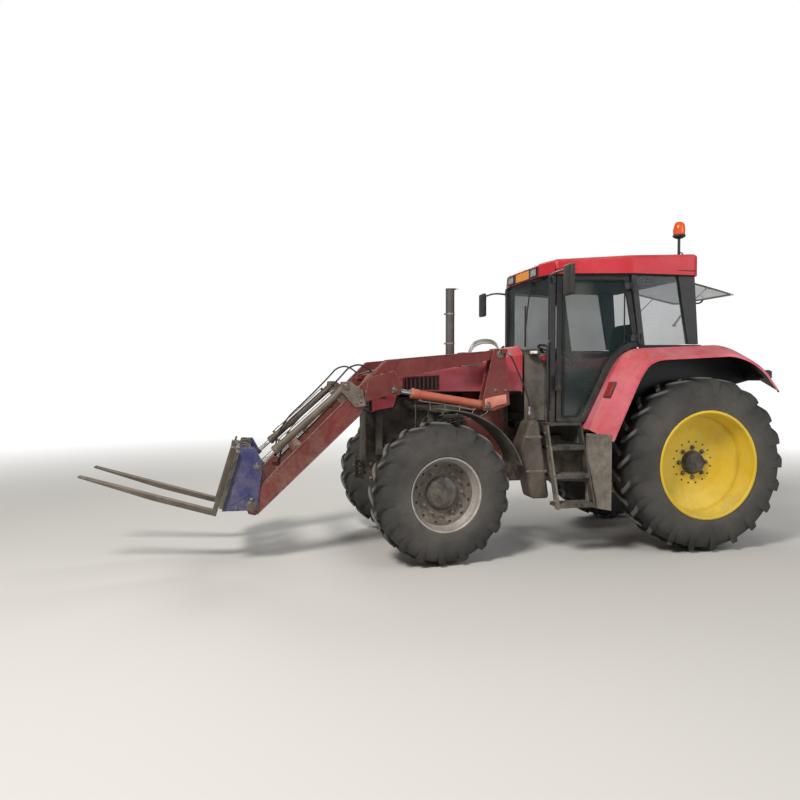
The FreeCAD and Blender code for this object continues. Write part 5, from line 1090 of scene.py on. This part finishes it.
keep(sides(on_face(local_block((0.0, -0.040, -0.082), (0.012, 0.040, 0.082)))), "wing_lamp_frames", "chassis",
     black_plastic, bevel=0.005)
keep(sides(on_face(local_block((0.008, -0.031, -0.072), (0.0165, 0.031, 0.072)))), "wing_lamps", "chassis",
     red_lens, bevel=0.003)
tail = joined([block((-0.735, 0.70, 1.655), (-0.700, 0.94, 1.745)), block((-0.72, 0.66, 1.665), (-0.66, 0.98, 1.735))])
keep(sides(tail), "tail_lamp_housings", "chassis", black_plastic, bevel=0.005)
keep(sides(block((-0.743, 0.71, 1.665), (-0.733, 0.82, 1.735))), "tail_lamps", "chassis", red_lens,
     bevel=0.004)
keep(sides(block((-0.743, 0.825, 1.665), (-0.733, 0.93, 1.735))), "turn_lamps", "chassis", amber_lens,
     bevel=0.004)
rivets = joined([bolt((1.128, y, 1.125), (1, 0, 0), 0.008) for y in (0.78, 0.80)] +
                [bolt((1.128 - 0.11 * (y - 0.8) / 0.23, y, 1.125), (1, 0.4, 0), 0.008) for y in (0.86, 0.93, 1.0)])
keep(sides(rivets), "flap_bolts", "chassis", dull_steel, corner=30)

# %% [markdown]
# Each tank is a blow-moulded bottle, so all of its edges are wide and round. Two steel straps hold it, and
# the neck takes the hose from the mast in a crimped end with a nut.

# %% Tanks
def bottle(inset, y0, y1, rounding):
    bm = plate([(1.512 + inset, 0.54 + inset), (1.69 - inset, 0.54 + inset), (1.805 - inset, 1.035),
                (1.71 - inset, 1.275 - inset), (1.62 + inset, 1.275 - inset)], y0, y1 - y0)
    bmesh.ops.bevel(bm, geom=bm.edges[:], offset=rounding, segments=5, profile=0.5, affect="EDGES", material=-1)
    return bm


neck = rod((1.65, 0.626, 1.262), (1.65, 0.626, 1.318), 0.0195, 28)
arm = sides(joined([neck, block((1.565, 0.21, 0.705), (1.635, 0.58, 0.775))]))
keep(joined([sides(bottle(0.0, 0.560, 0.800, 0.036)), arm]), "tank_bottles", "chassis", tank_plastic,
     replaces=("fuel_tanks",), corner=50)
caps = joined([rod((1.655, 0.715, 1.268), (1.655, 0.715, 1.282), 0.040, 32),
               rod((1.655, 0.715, 1.280), (1.655, 0.715, 1.296), 0.034, 12, 0.031)])
keep(sides(caps), "tank_caps", "chassis", black_plastic, bevel=0.002)
straps = []
for low, high, z in ((1.548, 1.755, 0.80), (1.600, 1.766, 1.12)):
    straps.append(block((low, 0.797, z - 0.012), (high, 0.803, z + 0.012)))
    straps.append(bolt((high - 0.02, 0.803, z), (0, 1, 0), 0.008))
keep(sides(joined(straps)), "tank_straps", "chassis", rust_steel, bevel=0.001)
fitting = joined([rod((1.65, 0.626, 1.316), (1.65, 0.626, 1.342), 0.017, 6), rod((1.65, 0.626, 1.342), (1.65, 0.626, 1.395), 0.0115),
                  rod((1.65, 0.626, 1.372), (1.65, 0.626, 1.380), 0.0130)])
keep(fitting, "tank_hose_fitting", "chassis", dull_steel, corner=30)
start, toward = Vector((1.892, 0.606, 1.913)), Vector((-0.080, 0.0, -0.038)).normalized()
crimp = joined([rod(start, start + toward * 0.030, 0.016, 6), rod(start, start + toward * 0.070, 0.0115)])
keep(crimp, "mast_hose_fitting", "chassis", dull_steel, corner=30)

# %% [markdown]
# The steps hang between two slanted strings. Punched treads with raised teeth keep a muddy boot from
# slipping, and the front string is a broad grey strut with a plate behind it.

# %% Steps
FLOOR_LOW = 1.21
teeth, plates = [], []
for level in range(3):
    lean = (0.97 - 0.60 - 0.09) * level * 0.255 / (FLOOR_LOW - 0.48)
    top = 0.48 + level * 0.255 + 0.03
    for number in range(11):
        x = 1.165 + number * 0.031
        teeth.append(block((x, 0.785 - lean, top - 0.002), (x + 0.011, 0.962 - lean, top + 0.007)))
    plates.append(block((1.150, 0.965 - lean, top - 0.034), (1.485, 0.972 - lean, top + 0.008)))
keep(sides(joined(teeth)), "step_teeth", "chassis", dull_steel, bevel=0.001)
keep(sides(joined(plates)), "step_noses", "chassis", black_paint, bevel=0.002)
strut = bmesh.new()
face = strut.faces.new([strut.verts.new(at(1.4845, y, z)) for y, z in
                        ((0.885, 0.462), (0.974, 0.462), (0.705, 1.215), (0.600, 1.215))])
grown = bmesh.ops.extrude_face_region(strut, geom=[face])
bmesh.ops.translate(strut, vec=(0.019, 0, 0), verts=[v for v in grown["geom"] if isinstance(v, bmesh.types.BMVert)])
strut = joined([strut, bolt((1.503, 0.665, 1.14), (1, 0, 0), 0.011), bolt((1.503, 0.71, 1.02), (1, 0, 0), 0.011),
                bolt((1.503, 0.90, 0.53), (1, 0, 0), 0.009)])
keep(sides(strut), "step_struts", "chassis", cab_grey, bevel=0.003)
print("mudguards, tanks and steps done")

# %% [markdown]
# A loader's arm is a box of welded plates. Its pins turn in bosses and are locked by small bolted tabs,
# with a grease nipple in each head. Reinforcing plates are welded on where the arm bends, and steel pipes
# run along its inner side. The crowd cylinder's bracket was left in brown primer.

# %% Loader arms: bosses, plates and pins
def pin_set(x, z, y, radius, head, steps=28):
    """A boss, the head of its pin, a lock tab with its bolt, and a grease nipple."""
    return joined([rod((x, y, z), (x, y + 0.009, z), radius * 1.45, steps),
                   rod((x, y, z), (x, y + head, z), radius, steps),
                   block((x - radius * 0.5, y, z + radius * 0.7), (x + radius * 0.5, y + 0.012, z + radius * 2.1)),
                   bolt((x, y + 0.012, z + radius * 1.75), (0, 1, 0), radius * 0.34),
                   rod((x, y + head, z), (x, y + head + 0.010, z), 0.005, 10)])


arm_pins = joined([pin_set(2.95, 1.555, 0.575, 0.020, 0.016), pin_set(3.39, 1.59, 0.583, 0.020, 0.014)])
keep(sides(arm_pins), "arm_pins", "boom", worn_steel, bevel=0.0015)
elbow_plates = joined([
    plate([(2.90, 1.845), (3.028, 1.822), (3.222, 1.626), (3.14, 1.60), (2.96, 1.72)], 0.560, 0.007),
    plate([(3.27, 1.575), (3.36, 1.487), (3.30, 1.36), (3.20, 1.45)], 0.560, 0.007),
    plate([(4.02, 0.832), (4.200, 0.655), (4.285, 0.565), (4.26, 0.475), (4.18, 0.475), (3.98, 0.67)], 0.560, 0.006)])
keep(sides(elbow_plates), "arm_plates", "boom", loader_paint, bevel=0.003)
lips = []
for (x0, z0), (x1, z1) in (((1.90, 1.936), (3.025, 1.833)), ((3.035, 1.824), (3.235, 1.624)), ((3.245, 1.615), (4.21, 0.66)),
                           ((3.27, 1.330), (4.19, 0.463))):
    lips.append(pipe([(x0, 0.5615, z0 - 0.004), (x1, 0.5615, z1 - 0.004)], 0.0045))
    lips.append(pipe([(x0, 0.4785, z0 - 0.004), (x1, 0.4785, z1 - 0.004)], 0.0045))
keep(sides(joined(lips)), "arm_welds", "boom", loader_paint)
clamps = [plate([(3.215, 1.415), (3.310, 1.400), (3.445, 1.550), (3.430, 1.632), (3.355, 1.635), (3.240, 1.550)],
                y, 0.008) for y in (0.575, 0.457)]
clamps += [bolt((x, 0.583, z), (0, 1, 0), 0.008) for x, z in ((3.262, 1.452), (3.302, 1.438), (3.268, 1.505))]
keep(sides(joined(clamps)), "crowd_brackets", "boom", clamp_brown, bevel=0.004)

# %% [markdown]
# Bright steel pipes carry the oil along the inner side of the arms, held by clamp blocks, and arch over
# the arm's rear end by the mast, where hoses let the arm swing.

# %% Loader pipes
runs = []
for step in (0.0, 0.022):
    runs.append(pipe([(2.06, 0.470 - step * 0.2, 1.80 + step), (2.50, 0.470, 1.765 + step), (2.92, 0.470, 1.735 + step),
                      (3.07, 0.468, 1.70 + step), (3.14, 0.462, 1.665 + step)], 0.0075))
    runs.append(pipe([(3.30, 0.470, 1.50 + step), (3.55, 0.470, 1.25 + step), (3.78, 0.470, 1.02 + step),
                      (3.92, 0.466, 0.885 + step), (3.97, 0.460, 0.835 + step)], 0.0075))
keep(sides(joined(runs)), "arm_pipes", "boom", dull_steel)
blocks = []
for x, z in ((2.30, 1.79), (2.72, 1.757), (3.42, 1.392), (3.68, 1.133)):
    blocks.append(block((x - 0.022, 0.458, z - 0.018), (x + 0.022, 0.482, z + 0.036)))
keep(sides(joined(blocks)), "pipe_clamps", "boom", black_plastic, bevel=0.002)
arches = []
for shift, tall in ((0.0, 0.0), (-0.016, 0.018), (-0.032, 0.034)):
    arches.append(pipe([(2.20, 0.45 + shift, 1.86), (2.17, 0.45 + shift, 1.955 + tall), (2.08, 0.45 + shift, 2.000 + tall),
                        (1.99, 0.45 + shift, 2.005 + tall), (1.92, 0.45 + shift, 1.985 + tall),
                        (1.885, 0.45 + shift, 1.92 + tall), (1.88, 0.448 + shift, 1.80)], 0.0075))
keep(joined(arches), "mast_pipes", "chassis", dull_steel)
manifold = joined([block((1.855, 0.405, 1.72), (1.905, 0.462, 1.80)), block((2.185, 0.405, 1.80), (2.235, 0.462, 1.86))])
keep(manifold, "pipe_blocks", "chassis", rust_steel, bevel=0.004)

# %% [markdown]
# The masts are plates on both sides of the arm. The boom's pin and the lift cylinder's pin pass through
# them, the foot is bolted to a side plate on the chassis, and a lighter panel shows where it was repaired.

# %% Masts
mast_pins = joined([pin_set(1.93, 1.89, 0.583, 0.026, 0.016), pin_set(2.045, 1.405, 0.583, 0.020, 0.016)])
keep(sides(mast_pins), "mast_pins", "chassis", worn_steel, bevel=0.0015)
patch = plate([(1.862, 1.428), (1.965, 1.404), (2.03, 1.375), (2.078, 1.385), (2.082, 1.470), (1.99, 1.492), (1.868, 1.512)],
              0.583, 0.006)
bmesh.ops.bevel(patch, geom=patch.edges[:], offset=0.002, segments=2, profile=0.5, affect="EDGES", material=-1)
keep(sides(patch), "mast_patches", "chassis", salmon_paint, corner=40)
foot_bolts = [bolt((x, 0.222, z), (0, 1, 0), 0.018) for x in (1.795, 2.150) for z in (0.87, 0.99, 1.11)]
foot_bolts += [bolt((1.875 + 0.1 * n, 0.5835, 1.55), (0, 1, 0), 0.011) for n in range(2)]
keep(sides(joined(foot_bolts)), "mast_bolts", "chassis", rust_steel, corner=30)

# %% [markdown]
# The cylinders get what a plain barrel lacks: an end cap, a gland with flats at the rod's side, oil ports,
# a steel feed pipe along the barrel, and a collar at the rod's eye.

# %% Cylinders
def along_line(foot, eye):
    """A function that gives places along a cylinder: how far along, how far out, and across."""
    run = Vector((eye[0] - foot[0], 0, eye[1] - foot[1])).normalized()
    up = Vector((-run.z, 0, run.x))

    def spot(distance, rise=0.0, y=0.52):
        place = Vector((foot[0], y, foot[1])) + run * distance + up * rise
        return tuple(place)
    return spot


for name, foot, eye, barrel, rod_size, start, end, body, piston in (
        ("lift", (2.045, 1.405), (2.95, 1.555), 0.040, 0.024, 0.060, 0.750, "lift_cylinders", "lift_pistons"),
        ("crowd", (3.39, 1.59), (4.19, 0.88), 0.034, 0.020, 0.055, 0.870, "crowd_cylinders", "crowd_pistons")):
    spot = along_line(foot, eye)
    paint = orange_paint if name == "lift" else rust_steel
    feed = -1 if name == "lift" else 1
    parts = [rod(spot(end - 0.075), spot(end - 0.004), barrel + 0.006, 32),
             rod(spot(end - 0.030), spot(end - 0.012), barrel + 0.009, 8),
             rod(spot(start), spot(start + 0.022), barrel + 0.003, 32)]
    for place in (start + 0.05, end - 0.10):
        parts.append(rod(spot(place, feed * barrel * 0.8), spot(place, feed * (barrel + 0.020)), 0.013, 12))
    keep(sides(joined(parts)), name + "_glands", body, paint, corner=30)
    tube = pipe([spot(start + 0.05, feed * (barrel + 0.016)), spot(start + 0.10, feed * (barrel + 0.020)),
                 spot(start + 0.20, feed * (barrel + 0.014)), spot(end - 0.25, feed * (barrel + 0.014)),
                 spot(end - 0.15, feed * (barrel + 0.020)), spot(end - 0.10, feed * (barrel + 0.016))], 0.0065)
    keep(sides(tube), name + "_feed_pipes", body, dull_steel)
    length = math.hypot(eye[0] - foot[0], eye[1] - foot[1])
    collar = rod(spot(length - 0.075), spot(length - 0.036), rod_size + 0.007, 28, rod_size + 0.012)
    keep(sides(collar), name + "_collars", piston, rust_steel, corner=30)

# %% [markdown]
# The quick hitch is two pairs of blue plates with cross tubes. The fork frame hooks over its top tube, and
# a sprung bolt at the foot of each plate locks it. The tines hang on the frame by hooks and are held
# sideways by small pins.

# %% Quick hitch and fork frame
TILT = math.radians(16.9)


def on_forks(x, y, z):
    """A place on the fork frame, which leans back."""
    return (4.58 + x * math.cos(TILT) - z * math.sin(TILT), y, 0.48 + x * math.sin(TILT) + z * math.cos(TILT))


def tilted(bm):
    """Lean a part, drawn square at the heel, back with the forks."""
    return turned(bm, -16.9, "Y", (4.58, 0, 0.48))


def fork_block(low, high):
    return tilted(block((4.58 + low[0], low[1], 0.48 + low[2]), (4.58 + high[0], high[1], 0.48 + high[2])))


hitch_pins = joined([pin_set(4.24, 0.54, 0.583, 0.034, 0.018), pin_set(4.19, 0.88, 0.583, 0.020, 0.016)])
keep(sides(hitch_pins), "hitch_pins", "carriage", worn_steel, bevel=0.0015)
cheeks = []
for y in (0.583, 0.451):
    cheeks.append(plate([(4.255, 0.64), (4.42, 0.55), (4.405, 0.70), (4.30, 0.83), (4.245, 0.80)], y, 0.006))
keep(sides(joined(cheeks)), "hitch_cheeks", "carriage", blue_paint, bevel=0.002)
bracing = []
for y in (-0.30, 0.0, 0.30):
    bracing.append(plate([(4.33, 0.56), (4.44, 0.56), (4.335, 0.99), (4.28, 0.99)], y - 0.008, 0.016))
keep(joined(bracing), "hitch_bracing", "carriage", blue_paint, corner=35)
hook_line = [(-0.070, 0.500), (-0.070, 0.600), (-0.082, 0.640), (-0.125, 0.650), (-0.170, 0.640), (-0.180, 0.600),
             (-0.180, 0.550), (-0.160, 0.550), (-0.160, 0.596), (-0.140, 0.618), (-0.100, 0.618), (-0.082, 0.596),
             (-0.082, 0.500)]
hooks = []
for y in (0.40, 0.19, -0.19, -0.40):
    hooks.append(tilted(plate([(4.58 + x, 0.48 + z) for x, z in hook_line], y - 0.015, 0.030)))
    hooks.append(fork_block((-0.084, y - 0.014, 0.080), (-0.072, y + 0.014, 0.200)))
keep(joined(hooks), "frame_hooks", "carriage", frame_black, bevel=0.003)
latches = [rod((4.37, 0.30, 0.53), (4.37, 0.61, 0.53), 0.013, 20),
           pipe([(4.37, 0.36, 0.545), (4.36, 0.36, 0.62), (4.34, 0.40, 0.68), (4.34, 0.44, 0.70)], 0.008)]
for number in range(9):
    ring_y = 0.335 + number * 0.013
    coil = [(4.37 + 0.021 * math.cos(a), ring_y + 0.013 * a / (2 * math.pi), 0.53 + 0.021 * math.sin(a))
            for a in [2 * math.pi * k / 8 for k in range(9)]]
    latches.append(pipe(coil, 0.0028, resolution=2))
keep(sides(joined(latches)), "hitch_latches", "carriage", worn_steel)
tine_hooks = []
for y in (0.35, -0.35):
    tine_hooks.append(fork_block((-0.055, y - 0.052, 0.552), (0.004, y + 0.052, 0.592)))
    tine_hooks.append(fork_block((-0.100, y - 0.045, 0.580), (-0.030, y + 0.045, 0.602)))
    tine_hooks.append(fork_block((-0.060, y - 0.045, 0.055), (-0.040, y + 0.045, 0.16)))
    tine_hooks.append(rod(on_forks(-0.025, y, 0.585), on_forks(-0.025, y, 0.640), 0.010, 16))
    tine_hooks.append(rod(on_forks(-0.025, y - 0.024, 0.632), on_forks(-0.025, y + 0.024, 0.632), 0.005, 12))
keep(joined(tine_hooks), "tine_hooks", "carriage", worn_steel, bevel=0.002)
grid = []
for number in range(9):
    y = -0.56 + number * 0.14
    if abs(abs(y) - 0.35) > 0.07:
        grid.append(rod(on_forks(-0.060, y, 0.10), on_forks(-0.060, y, 0.55), 0.008, 12))
keep(joined(grid), "frame_bars", "carriage", frame_black, corner=40)
print("loader done")

# %% [markdown]
# The bonnet is one sheet that tips up. A rubber seal runs along its lower edge, slots with folded louvres
# let the heat out, and two pressed ribs keep its top stiff. A catch holds it down over each front wheel.

# %% Bonnet
seal = pipe([(1.625, 0.3615, 1.534), (2.30, 0.3615, 1.534), (2.84, 0.3615, 1.534), (2.862, 0.3615, 1.530),
             (2.872, 0.3615, 1.505), (2.900, 0.3615, 1.405), (2.910, 0.3615, 1.388), (2.930, 0.3615, 1.383),
             (3.102, 0.3615, 1.352)], 0.006)
keep(sides(seal), "bonnet_seals", "hood", seal_rubber)
# A black sheet behind the louvres is painted shade: it stands for the dark openings of the slots.
louvres = [plate([(2.470, 1.560), (2.810, 1.560), (2.800, 1.668), (2.470, 1.688)], 0.3595, 0.0025)]
keep(sides(louvres[0]), "vent_shade_backs", "hood", seal_rubber)
slats = []
for number in range(8):
    x = 2.492 + number * 0.041
    slats.append(turned(block((x - 0.013, 0.3600, 1.566), (x + 0.013, 0.3635, 1.678 - number * 0.0024)), 14, "Z",
                        (x, 0.362, 1.6)))
for low, high in (((2.462, 1.552), (2.820, 1.562)), ((2.462, 1.560), (2.474, 1.690)), ((2.806, 1.560), (2.818, 1.672))):
    slats.append(block((low[0], 0.359, low[1]), (high[0], 0.3655, high[1])))
slats.append(turned(block((2.462, 0.359, 1.6740), (2.818, 0.3655, 1.6835)), 3.2, "Y", (2.64, 0, 1.679)))
# The louvres take the darkened red, which is painted shade under the loader's arm.
keep(sides(joined(slats)), "bonnet_vents", "hood", shaded_red_paint, bevel=0.0012)
rib = plate([(1.70, 1.955), (1.72, 1.9675), (2.96, 1.7245), (2.97, 1.7125)], 0.150, 0.030)
bmesh.ops.bevel(rib, geom=rib.edges[:], offset=0.004, segments=2, profile=0.5, affect="EDGES", material=-1)
keep(sides(rib), "bonnet_ribs", "hood", red_paint)
catch = joined([block((2.985, 0.358, 1.470), (3.035, 0.366, 1.520)), rod((3.01, 0.364, 1.50), (3.01, 0.372, 1.50), 0.010, 18),
                block((3.002, 0.364, 1.474), (3.018, 0.371, 1.502))])
keep(sides(catch), "bonnet_catches", "hood", black_plastic, bevel=0.0015)
press = plate([(1.640, 1.742), (2.440, 1.600), (2.440, 1.588), (1.640, 1.726)], 0.359, 0.005)
keep(sides(press), "bonnet_creases", "hood", red_paint, bevel=0.002)

# %% [markdown]
# The nose has two headlamps behind a black mesh. Each lamp is a bowl with a bright reflector, a bulb and a
# clear pane in a moulded frame.

# %% Nose
def lens_box(y, z, wide, tall):
    """The parts of a headlamp: frame, reflector and pane."""
    low, high = (3.126, y - wide, z - tall), (3.131, y + wide, z + tall)
    rim = [block((3.126, y - wide - 0.012, z + sign * tall - 0.006), (3.146, y + wide + 0.012, z + sign * tall + 0.006))
           for sign in (1, -1)]
    rim += [block((3.126, y + sign * wide - 0.006, z - tall), (3.146, y + sign * wide + 0.006, z + tall))
            for sign in (1, -1)]
    bowl = joined([block(low, high), rod((3.131, y, z), (3.139, y, z), 0.015, 20), rod((3.131, y, z), (3.1325, y, z), 0.036, 32)])
    return joined(rim), bowl, block((3.139, y - wide + 0.004, z - tall + 0.004), (3.142, y + wide - 0.004, z + tall - 0.004))


rim, bowl, pane = lens_box(0.205, 1.530, 0.066, 0.044)
keep(sides(rim), "headlamp_frames", "hood", black_plastic, bevel=0.003)
keep(sides(bowl), "headlamp_bowls", "hood", mirror_face, corner=30)
keep(sides(pane), "headlamp_panes", "hood", clear_pane)
mesh_rods = []
for number in range(41):
    y = -0.268 + number * 0.0134
    mesh_rods.append(rod((3.1235, y, 1.372), (3.1235, y, 1.590), 0.0016, 6))
keep(joined(mesh_rods), "grille_mesh", "hood", black_plastic)
surround = []
for y0, y1, z0, z1 in ((-0.300, 0.300, 1.590, 1.606), (-0.300, 0.300, 1.352, 1.368), (-0.300, -0.284, 1.352, 1.606),
                       (0.284, 0.300, 1.352, 1.606), (-0.300, 0.300, 1.462, 1.470)):
    surround.append(block((3.110, y0, z0), (3.138, y1, z1)))
keep(joined(surround), "grille_surround", "hood", black_plastic, bevel=0.003)

# %% [markdown]
# The silencer's pipe has a shield where it leaves the bonnet, clamps, and a cut top with a flap
# that the exhaust lifts.

# %% Exhaust
shield = joined([rod((2.17, -0.27, 1.83), (2.17, -0.27, 1.875), 0.060, 48, 0.056), rod((2.17, -0.27, 2.02), (2.17, -0.27, 2.036), 0.0495, 40),
                 rod((2.17, -0.27, 2.33), (2.17, -0.27, 2.346), 0.0495, 40),
                 block((2.214, -0.278, 2.020), (2.234, -0.262, 2.036)), block((2.214, -0.278, 2.330), (2.234, -0.262, 2.346)),
                 bolt((2.228, -0.262, 2.028), (0, 1, 0), 0.006), bolt((2.228, -0.262, 2.338), (0, 1, 0), 0.006)])
keep(shield, "stack_clamps", "hood", dull_steel, corner=30)
flap = joined([rod((2.17, -0.27, 2.6005), (2.17, -0.27, 2.6045), 0.049, 40), block((2.108, -0.278, 2.594), (2.128, -0.262, 2.610)),
               rod((2.113, -0.290, 2.603), (2.113, -0.250, 2.603), 0.005, 12), block((2.080, -0.276, 2.600), (2.112, -0.264, 2.606))])
keep(flap, "stack_flap", "hood", rust_steel, corner=30)

# %% [markdown]
# Under the bonnet the engine's side shows above the front wheel: manifolds, filters, the injection pump
# with its thin pipes, and the radiator with its hoses. They are dark with oil and dust.

# %% Engine's sides
def along_x(x0, x1, y, z, radius, steps=28):
    return rod((x0, y, z), (x1, y, z), radius, steps)


cover = block((1.80, -0.115, 1.472), (2.80, 0.115, 1.560))
bmesh.ops.bevel(cover, geom=cover.edges[:], offset=0.022, segments=3, profile=0.5, affect="EDGES", material=-1)
left = [pipe([(1.90, 0.245, 1.37), (2.20, 0.245, 1.37), (2.55, 0.245, 1.37), (2.72, 0.240, 1.38), (2.78, 0.20, 1.44)], 0.036),
        block((2.47, 0.195, 1.02), (2.71, 0.300, 1.13)),
        along_x(2.44, 2.48, 0.25, 1.075, 0.050), along_x(2.70, 2.76, 0.25, 1.075, 0.045),
        rod((2.86, 0.195, 1.00), (2.86, 0.345, 0.96), 0.048, 32), rod((2.86, 0.335, 0.963), (2.86, 0.352, 0.958), 0.040, 12),
        block((2.20, 0.195, 1.275), (2.41, 0.31, 1.312))]
left += [rod((x, 0.262, 1.06), (x, 0.262, 1.278), 0.044, 32) for x in (2.252, 2.358)]
left += [rod((x, 0.262, 1.045), (x, 0.262, 1.064), 0.018, 8) for x in (2.252, 2.358)]
left += [rod((1.93 + 0.15 * n, 0.195, 1.40), (1.93 + 0.15 * n, 0.235, 1.38), 0.030, 20) for n in range(6)]
right = [pipe([(2.62, -0.245, 1.38), (2.40, -0.245, 1.38), (2.25, -0.245, 1.38), (2.18, -0.26, 1.42), (2.17, -0.27, 1.60)], 0.040),
         along_x(2.10, 2.24, -0.290, 1.30, 0.070, 36), along_x(2.24, 2.30, -0.290, 1.30, 0.048), along_x(2.72, 2.86, -0.265, 1.20, 0.062, 32),
         along_x(2.86, 2.89, -0.265, 1.20, 0.036), block((2.74, -0.24, 1.10), (2.80, -0.20, 1.24)),
         pipe([(2.30, -0.290, 1.30), (2.45, -0.290, 1.32), (2.60, -0.28, 1.46), (2.80, -0.24, 1.50), (2.99, -0.22, 1.50)], 0.032),
         block((2.40, -0.30, 0.98), (2.66, -0.195, 1.12))]
keep(joined(left + right + [cover]), "engine_fittings", "chassis", casting, corner=40)
feeds = []
for number in range(6):
    x, goal = 2.495 + number * 0.038, 1.93 + number * 0.15
    feeds.append(pipe([(x, 0.285, 1.128), (x, 0.292, 1.19), (x + (goal - x) * 0.4, 0.300, 1.25 + 0.008 * number),
                       (goal, 0.292, 1.30 + 0.006 * number), (goal, 0.262, 1.445), (goal, 0.205, 1.465)], 0.0042, resolution=3))
keep(joined(feeds), "injection_pipes", "chassis", dull_steel)
hoses = [pipe([(3.008, 0.23, 1.52), (2.93, 0.24, 1.53), (2.86, 0.20, 1.52), (2.79, 0.12, 1.50)], 0.026),
         pipe([(3.008, 0.24, 1.02), (2.95, 0.265, 1.01), (2.90, 0.25, 1.03), (2.86, 0.20, 1.06)], 0.026),
         pipe([(2.40, 0.285, 1.295), (2.47, 0.30, 1.30), (2.55, 0.29, 1.22), (2.58, 0.27, 1.13)], 0.009),
         pipe([(2.21, 0.285, 1.295), (2.205, 0.31, 1.22), (2.22, 0.31, 1.10), (2.24, 0.27, 1.00), (2.26, 0.20, 0.93)], 0.009)]
keep(joined(hoses), "engine_hoses", "chassis", hose_rubber)
core = [block((3.006, -0.305, 0.930), (3.066, 0.305, 1.585))]
keep(core[0], "radiator_core", "chassis", black_plastic, bevel=0.004)
fins = [block((3.004, -0.290, 0.955 + 0.0205 * n), (3.070, 0.290, 0.961 + 0.0205 * n)) for n in range(30)]
keep(joined(fins), "radiator_fins", "chassis", casting)
bulkhead = joined([block((1.060, -0.56, 1.030), (1.120, 0.56, 1.207)), block((1.478, -0.355, 0.98), (1.496, 0.355, 1.300)), block((1.496, 0.12, 1.07), (1.60, 0.33, 1.22)),
                   block((1.496, -0.33, 1.07), (1.60, -0.10, 1.22))])
keep(bulkhead, "bulkhead", "chassis", black_plastic, bevel=0.004)

# %% [markdown]
# The front axle carries its steering cylinder ahead of the beam. At the front of the bolster sit the tow
# pin and the heads of the bolts that hold it.

# %% Front axle and tow pin
ram = joined([rod((2.735, -0.235, 0.665), (2.735, 0.235, 0.665), 0.036, 32), rod((2.735, -0.245, 0.665), (2.735, -0.215, 0.665), 0.042, 32),
              rod((2.735, 0.215, 0.665), (2.735, 0.245, 0.665), 0.042, 32), block((2.670, -0.10, 0.630), (2.742, -0.05, 0.705)),
              block((2.670, 0.05, 0.630), (2.742, 0.10, 0.705)), rod((2.735, 0.15, 0.695), (2.735, 0.15, 0.725), 0.012, 10),
              rod((2.735, -0.15, 0.695), (2.735, -0.15, 0.725), 0.012, 10)])
keep(ram, "steering_ram", "chassis", casting, corner=40)
keep(rod((2.735, -0.43, 0.665), (2.735, 0.43, 0.665), 0.017, 24), "steering_rod", "chassis", bright_rod, corner=40)
ends = joined([rod((2.735, 0.425, 0.665), (2.735, 0.465, 0.665), 0.025, 20), block((2.665, 0.40, 0.640), (2.745, 0.436, 0.690)),
               bolt((2.735, 0.445, 0.690), (0, 0, 1), 0.014)])
keep(sides(ends), "steering_ends", "chassis", casting, corner=40)
tow = joined([block((3.150, -0.105, 0.66), (3.168, 0.105, 0.86)), block((3.160, -0.055, 0.790), (3.245, 0.055, 0.812)),
              block((3.160, -0.055, 0.700), (3.245, 0.055, 0.722)), rod((3.212, 0.0, 0.680), (3.212, 0.0, 0.850), 0.015, 24),
              rod((3.212, 0.0, 0.850), (3.212, 0.0, 0.862), 0.024, 24),
              pipe([(3.212, -0.02, 0.862), (3.212, -0.03, 0.90), (3.212, 0.0, 0.915), (3.212, 0.03, 0.90), (3.212, 0.02, 0.862)], 0.005)]
             + [bolt((3.168, y, z), (1, 0, 0), 0.013) for y in (-0.082, 0.082) for z in (0.685, 0.835)])
keep(tow, "tow_pin", "chassis", casting, bevel=0.002)
side_bolts = [bolt((x, 0.200, z), (0, 1, 0), 0.015) for x in (2.22, 2.38, 2.54, 2.86, 3.02, 3.10) for z in (0.70, 0.84)]
keep(sides(joined(side_bolts)), "bolster_bolts", "chassis", rust_steel, corner=30)

# %% [markdown]
# At the rear the linkage is completed by the top link, the shield over the drive stub and the oil
# couplers with their dust caps.

# %% Rear end
top_link = joined([block((-0.320, -0.052, 0.900), (-0.258, -0.036, 1.015)), block((-0.320, 0.036, 0.900), (-0.258, 0.052, 1.015)),
                   rod((-0.300, -0.060, 0.965), (-0.300, 0.060, 0.965), 0.012, 20),
                   rod((-0.300, 0, 0.965), (-0.430, 0, 1.005), 0.015, 20), rod((-0.425, 0, 1.0035), (-0.610, 0, 1.0605), 0.026, 24),
                   rod((-0.605, 0, 1.059), (-0.720, 0, 1.0945), 0.015, 20), rod((-0.735, -0.022, 1.100), (-0.735, 0.022, 1.100), 0.036, 28),
                   pipe([(-0.50, 0.024, 1.03), (-0.50, 0.060, 1.05), (-0.56, 0.060, 1.08), (-0.57, 0.030, 1.055)], 0.006)])
keep(top_link, "top_link", "chassis", rust_steel, corner=40)
guard = joined([block((-0.375, -0.100, 0.745), (-0.262, 0.100, 0.753)),
                plate([(-0.262, 0.753), (-0.375, 0.753), (-0.330, 0.600), (-0.262, 0.600)], 0.094, 0.006),
                plate([(-0.262, 0.753), (-0.375, 0.753), (-0.330, 0.600), (-0.262, 0.600)], -0.100, 0.006)])
keep(guard, "stub_guard", "chassis", black_paint, bevel=0.002)
couplers = [block((-0.300, -0.215, 0.800), (-0.258, -0.075, 0.900)), block((-0.300, 0.075, 0.800), (-0.258, 0.215, 0.900))]
for y in (-0.185, -0.105, 0.105, 0.185):
    for z in (0.825, 0.875):
        couplers += [rod((-0.298, y, z), (-0.325, y, z), 0.017, 8), rod((-0.323, y, z), (-0.340, y, z), 0.014, 20)]
keep(joined(couplers), "oil_couplers", "chassis", worn_steel, corner=30)
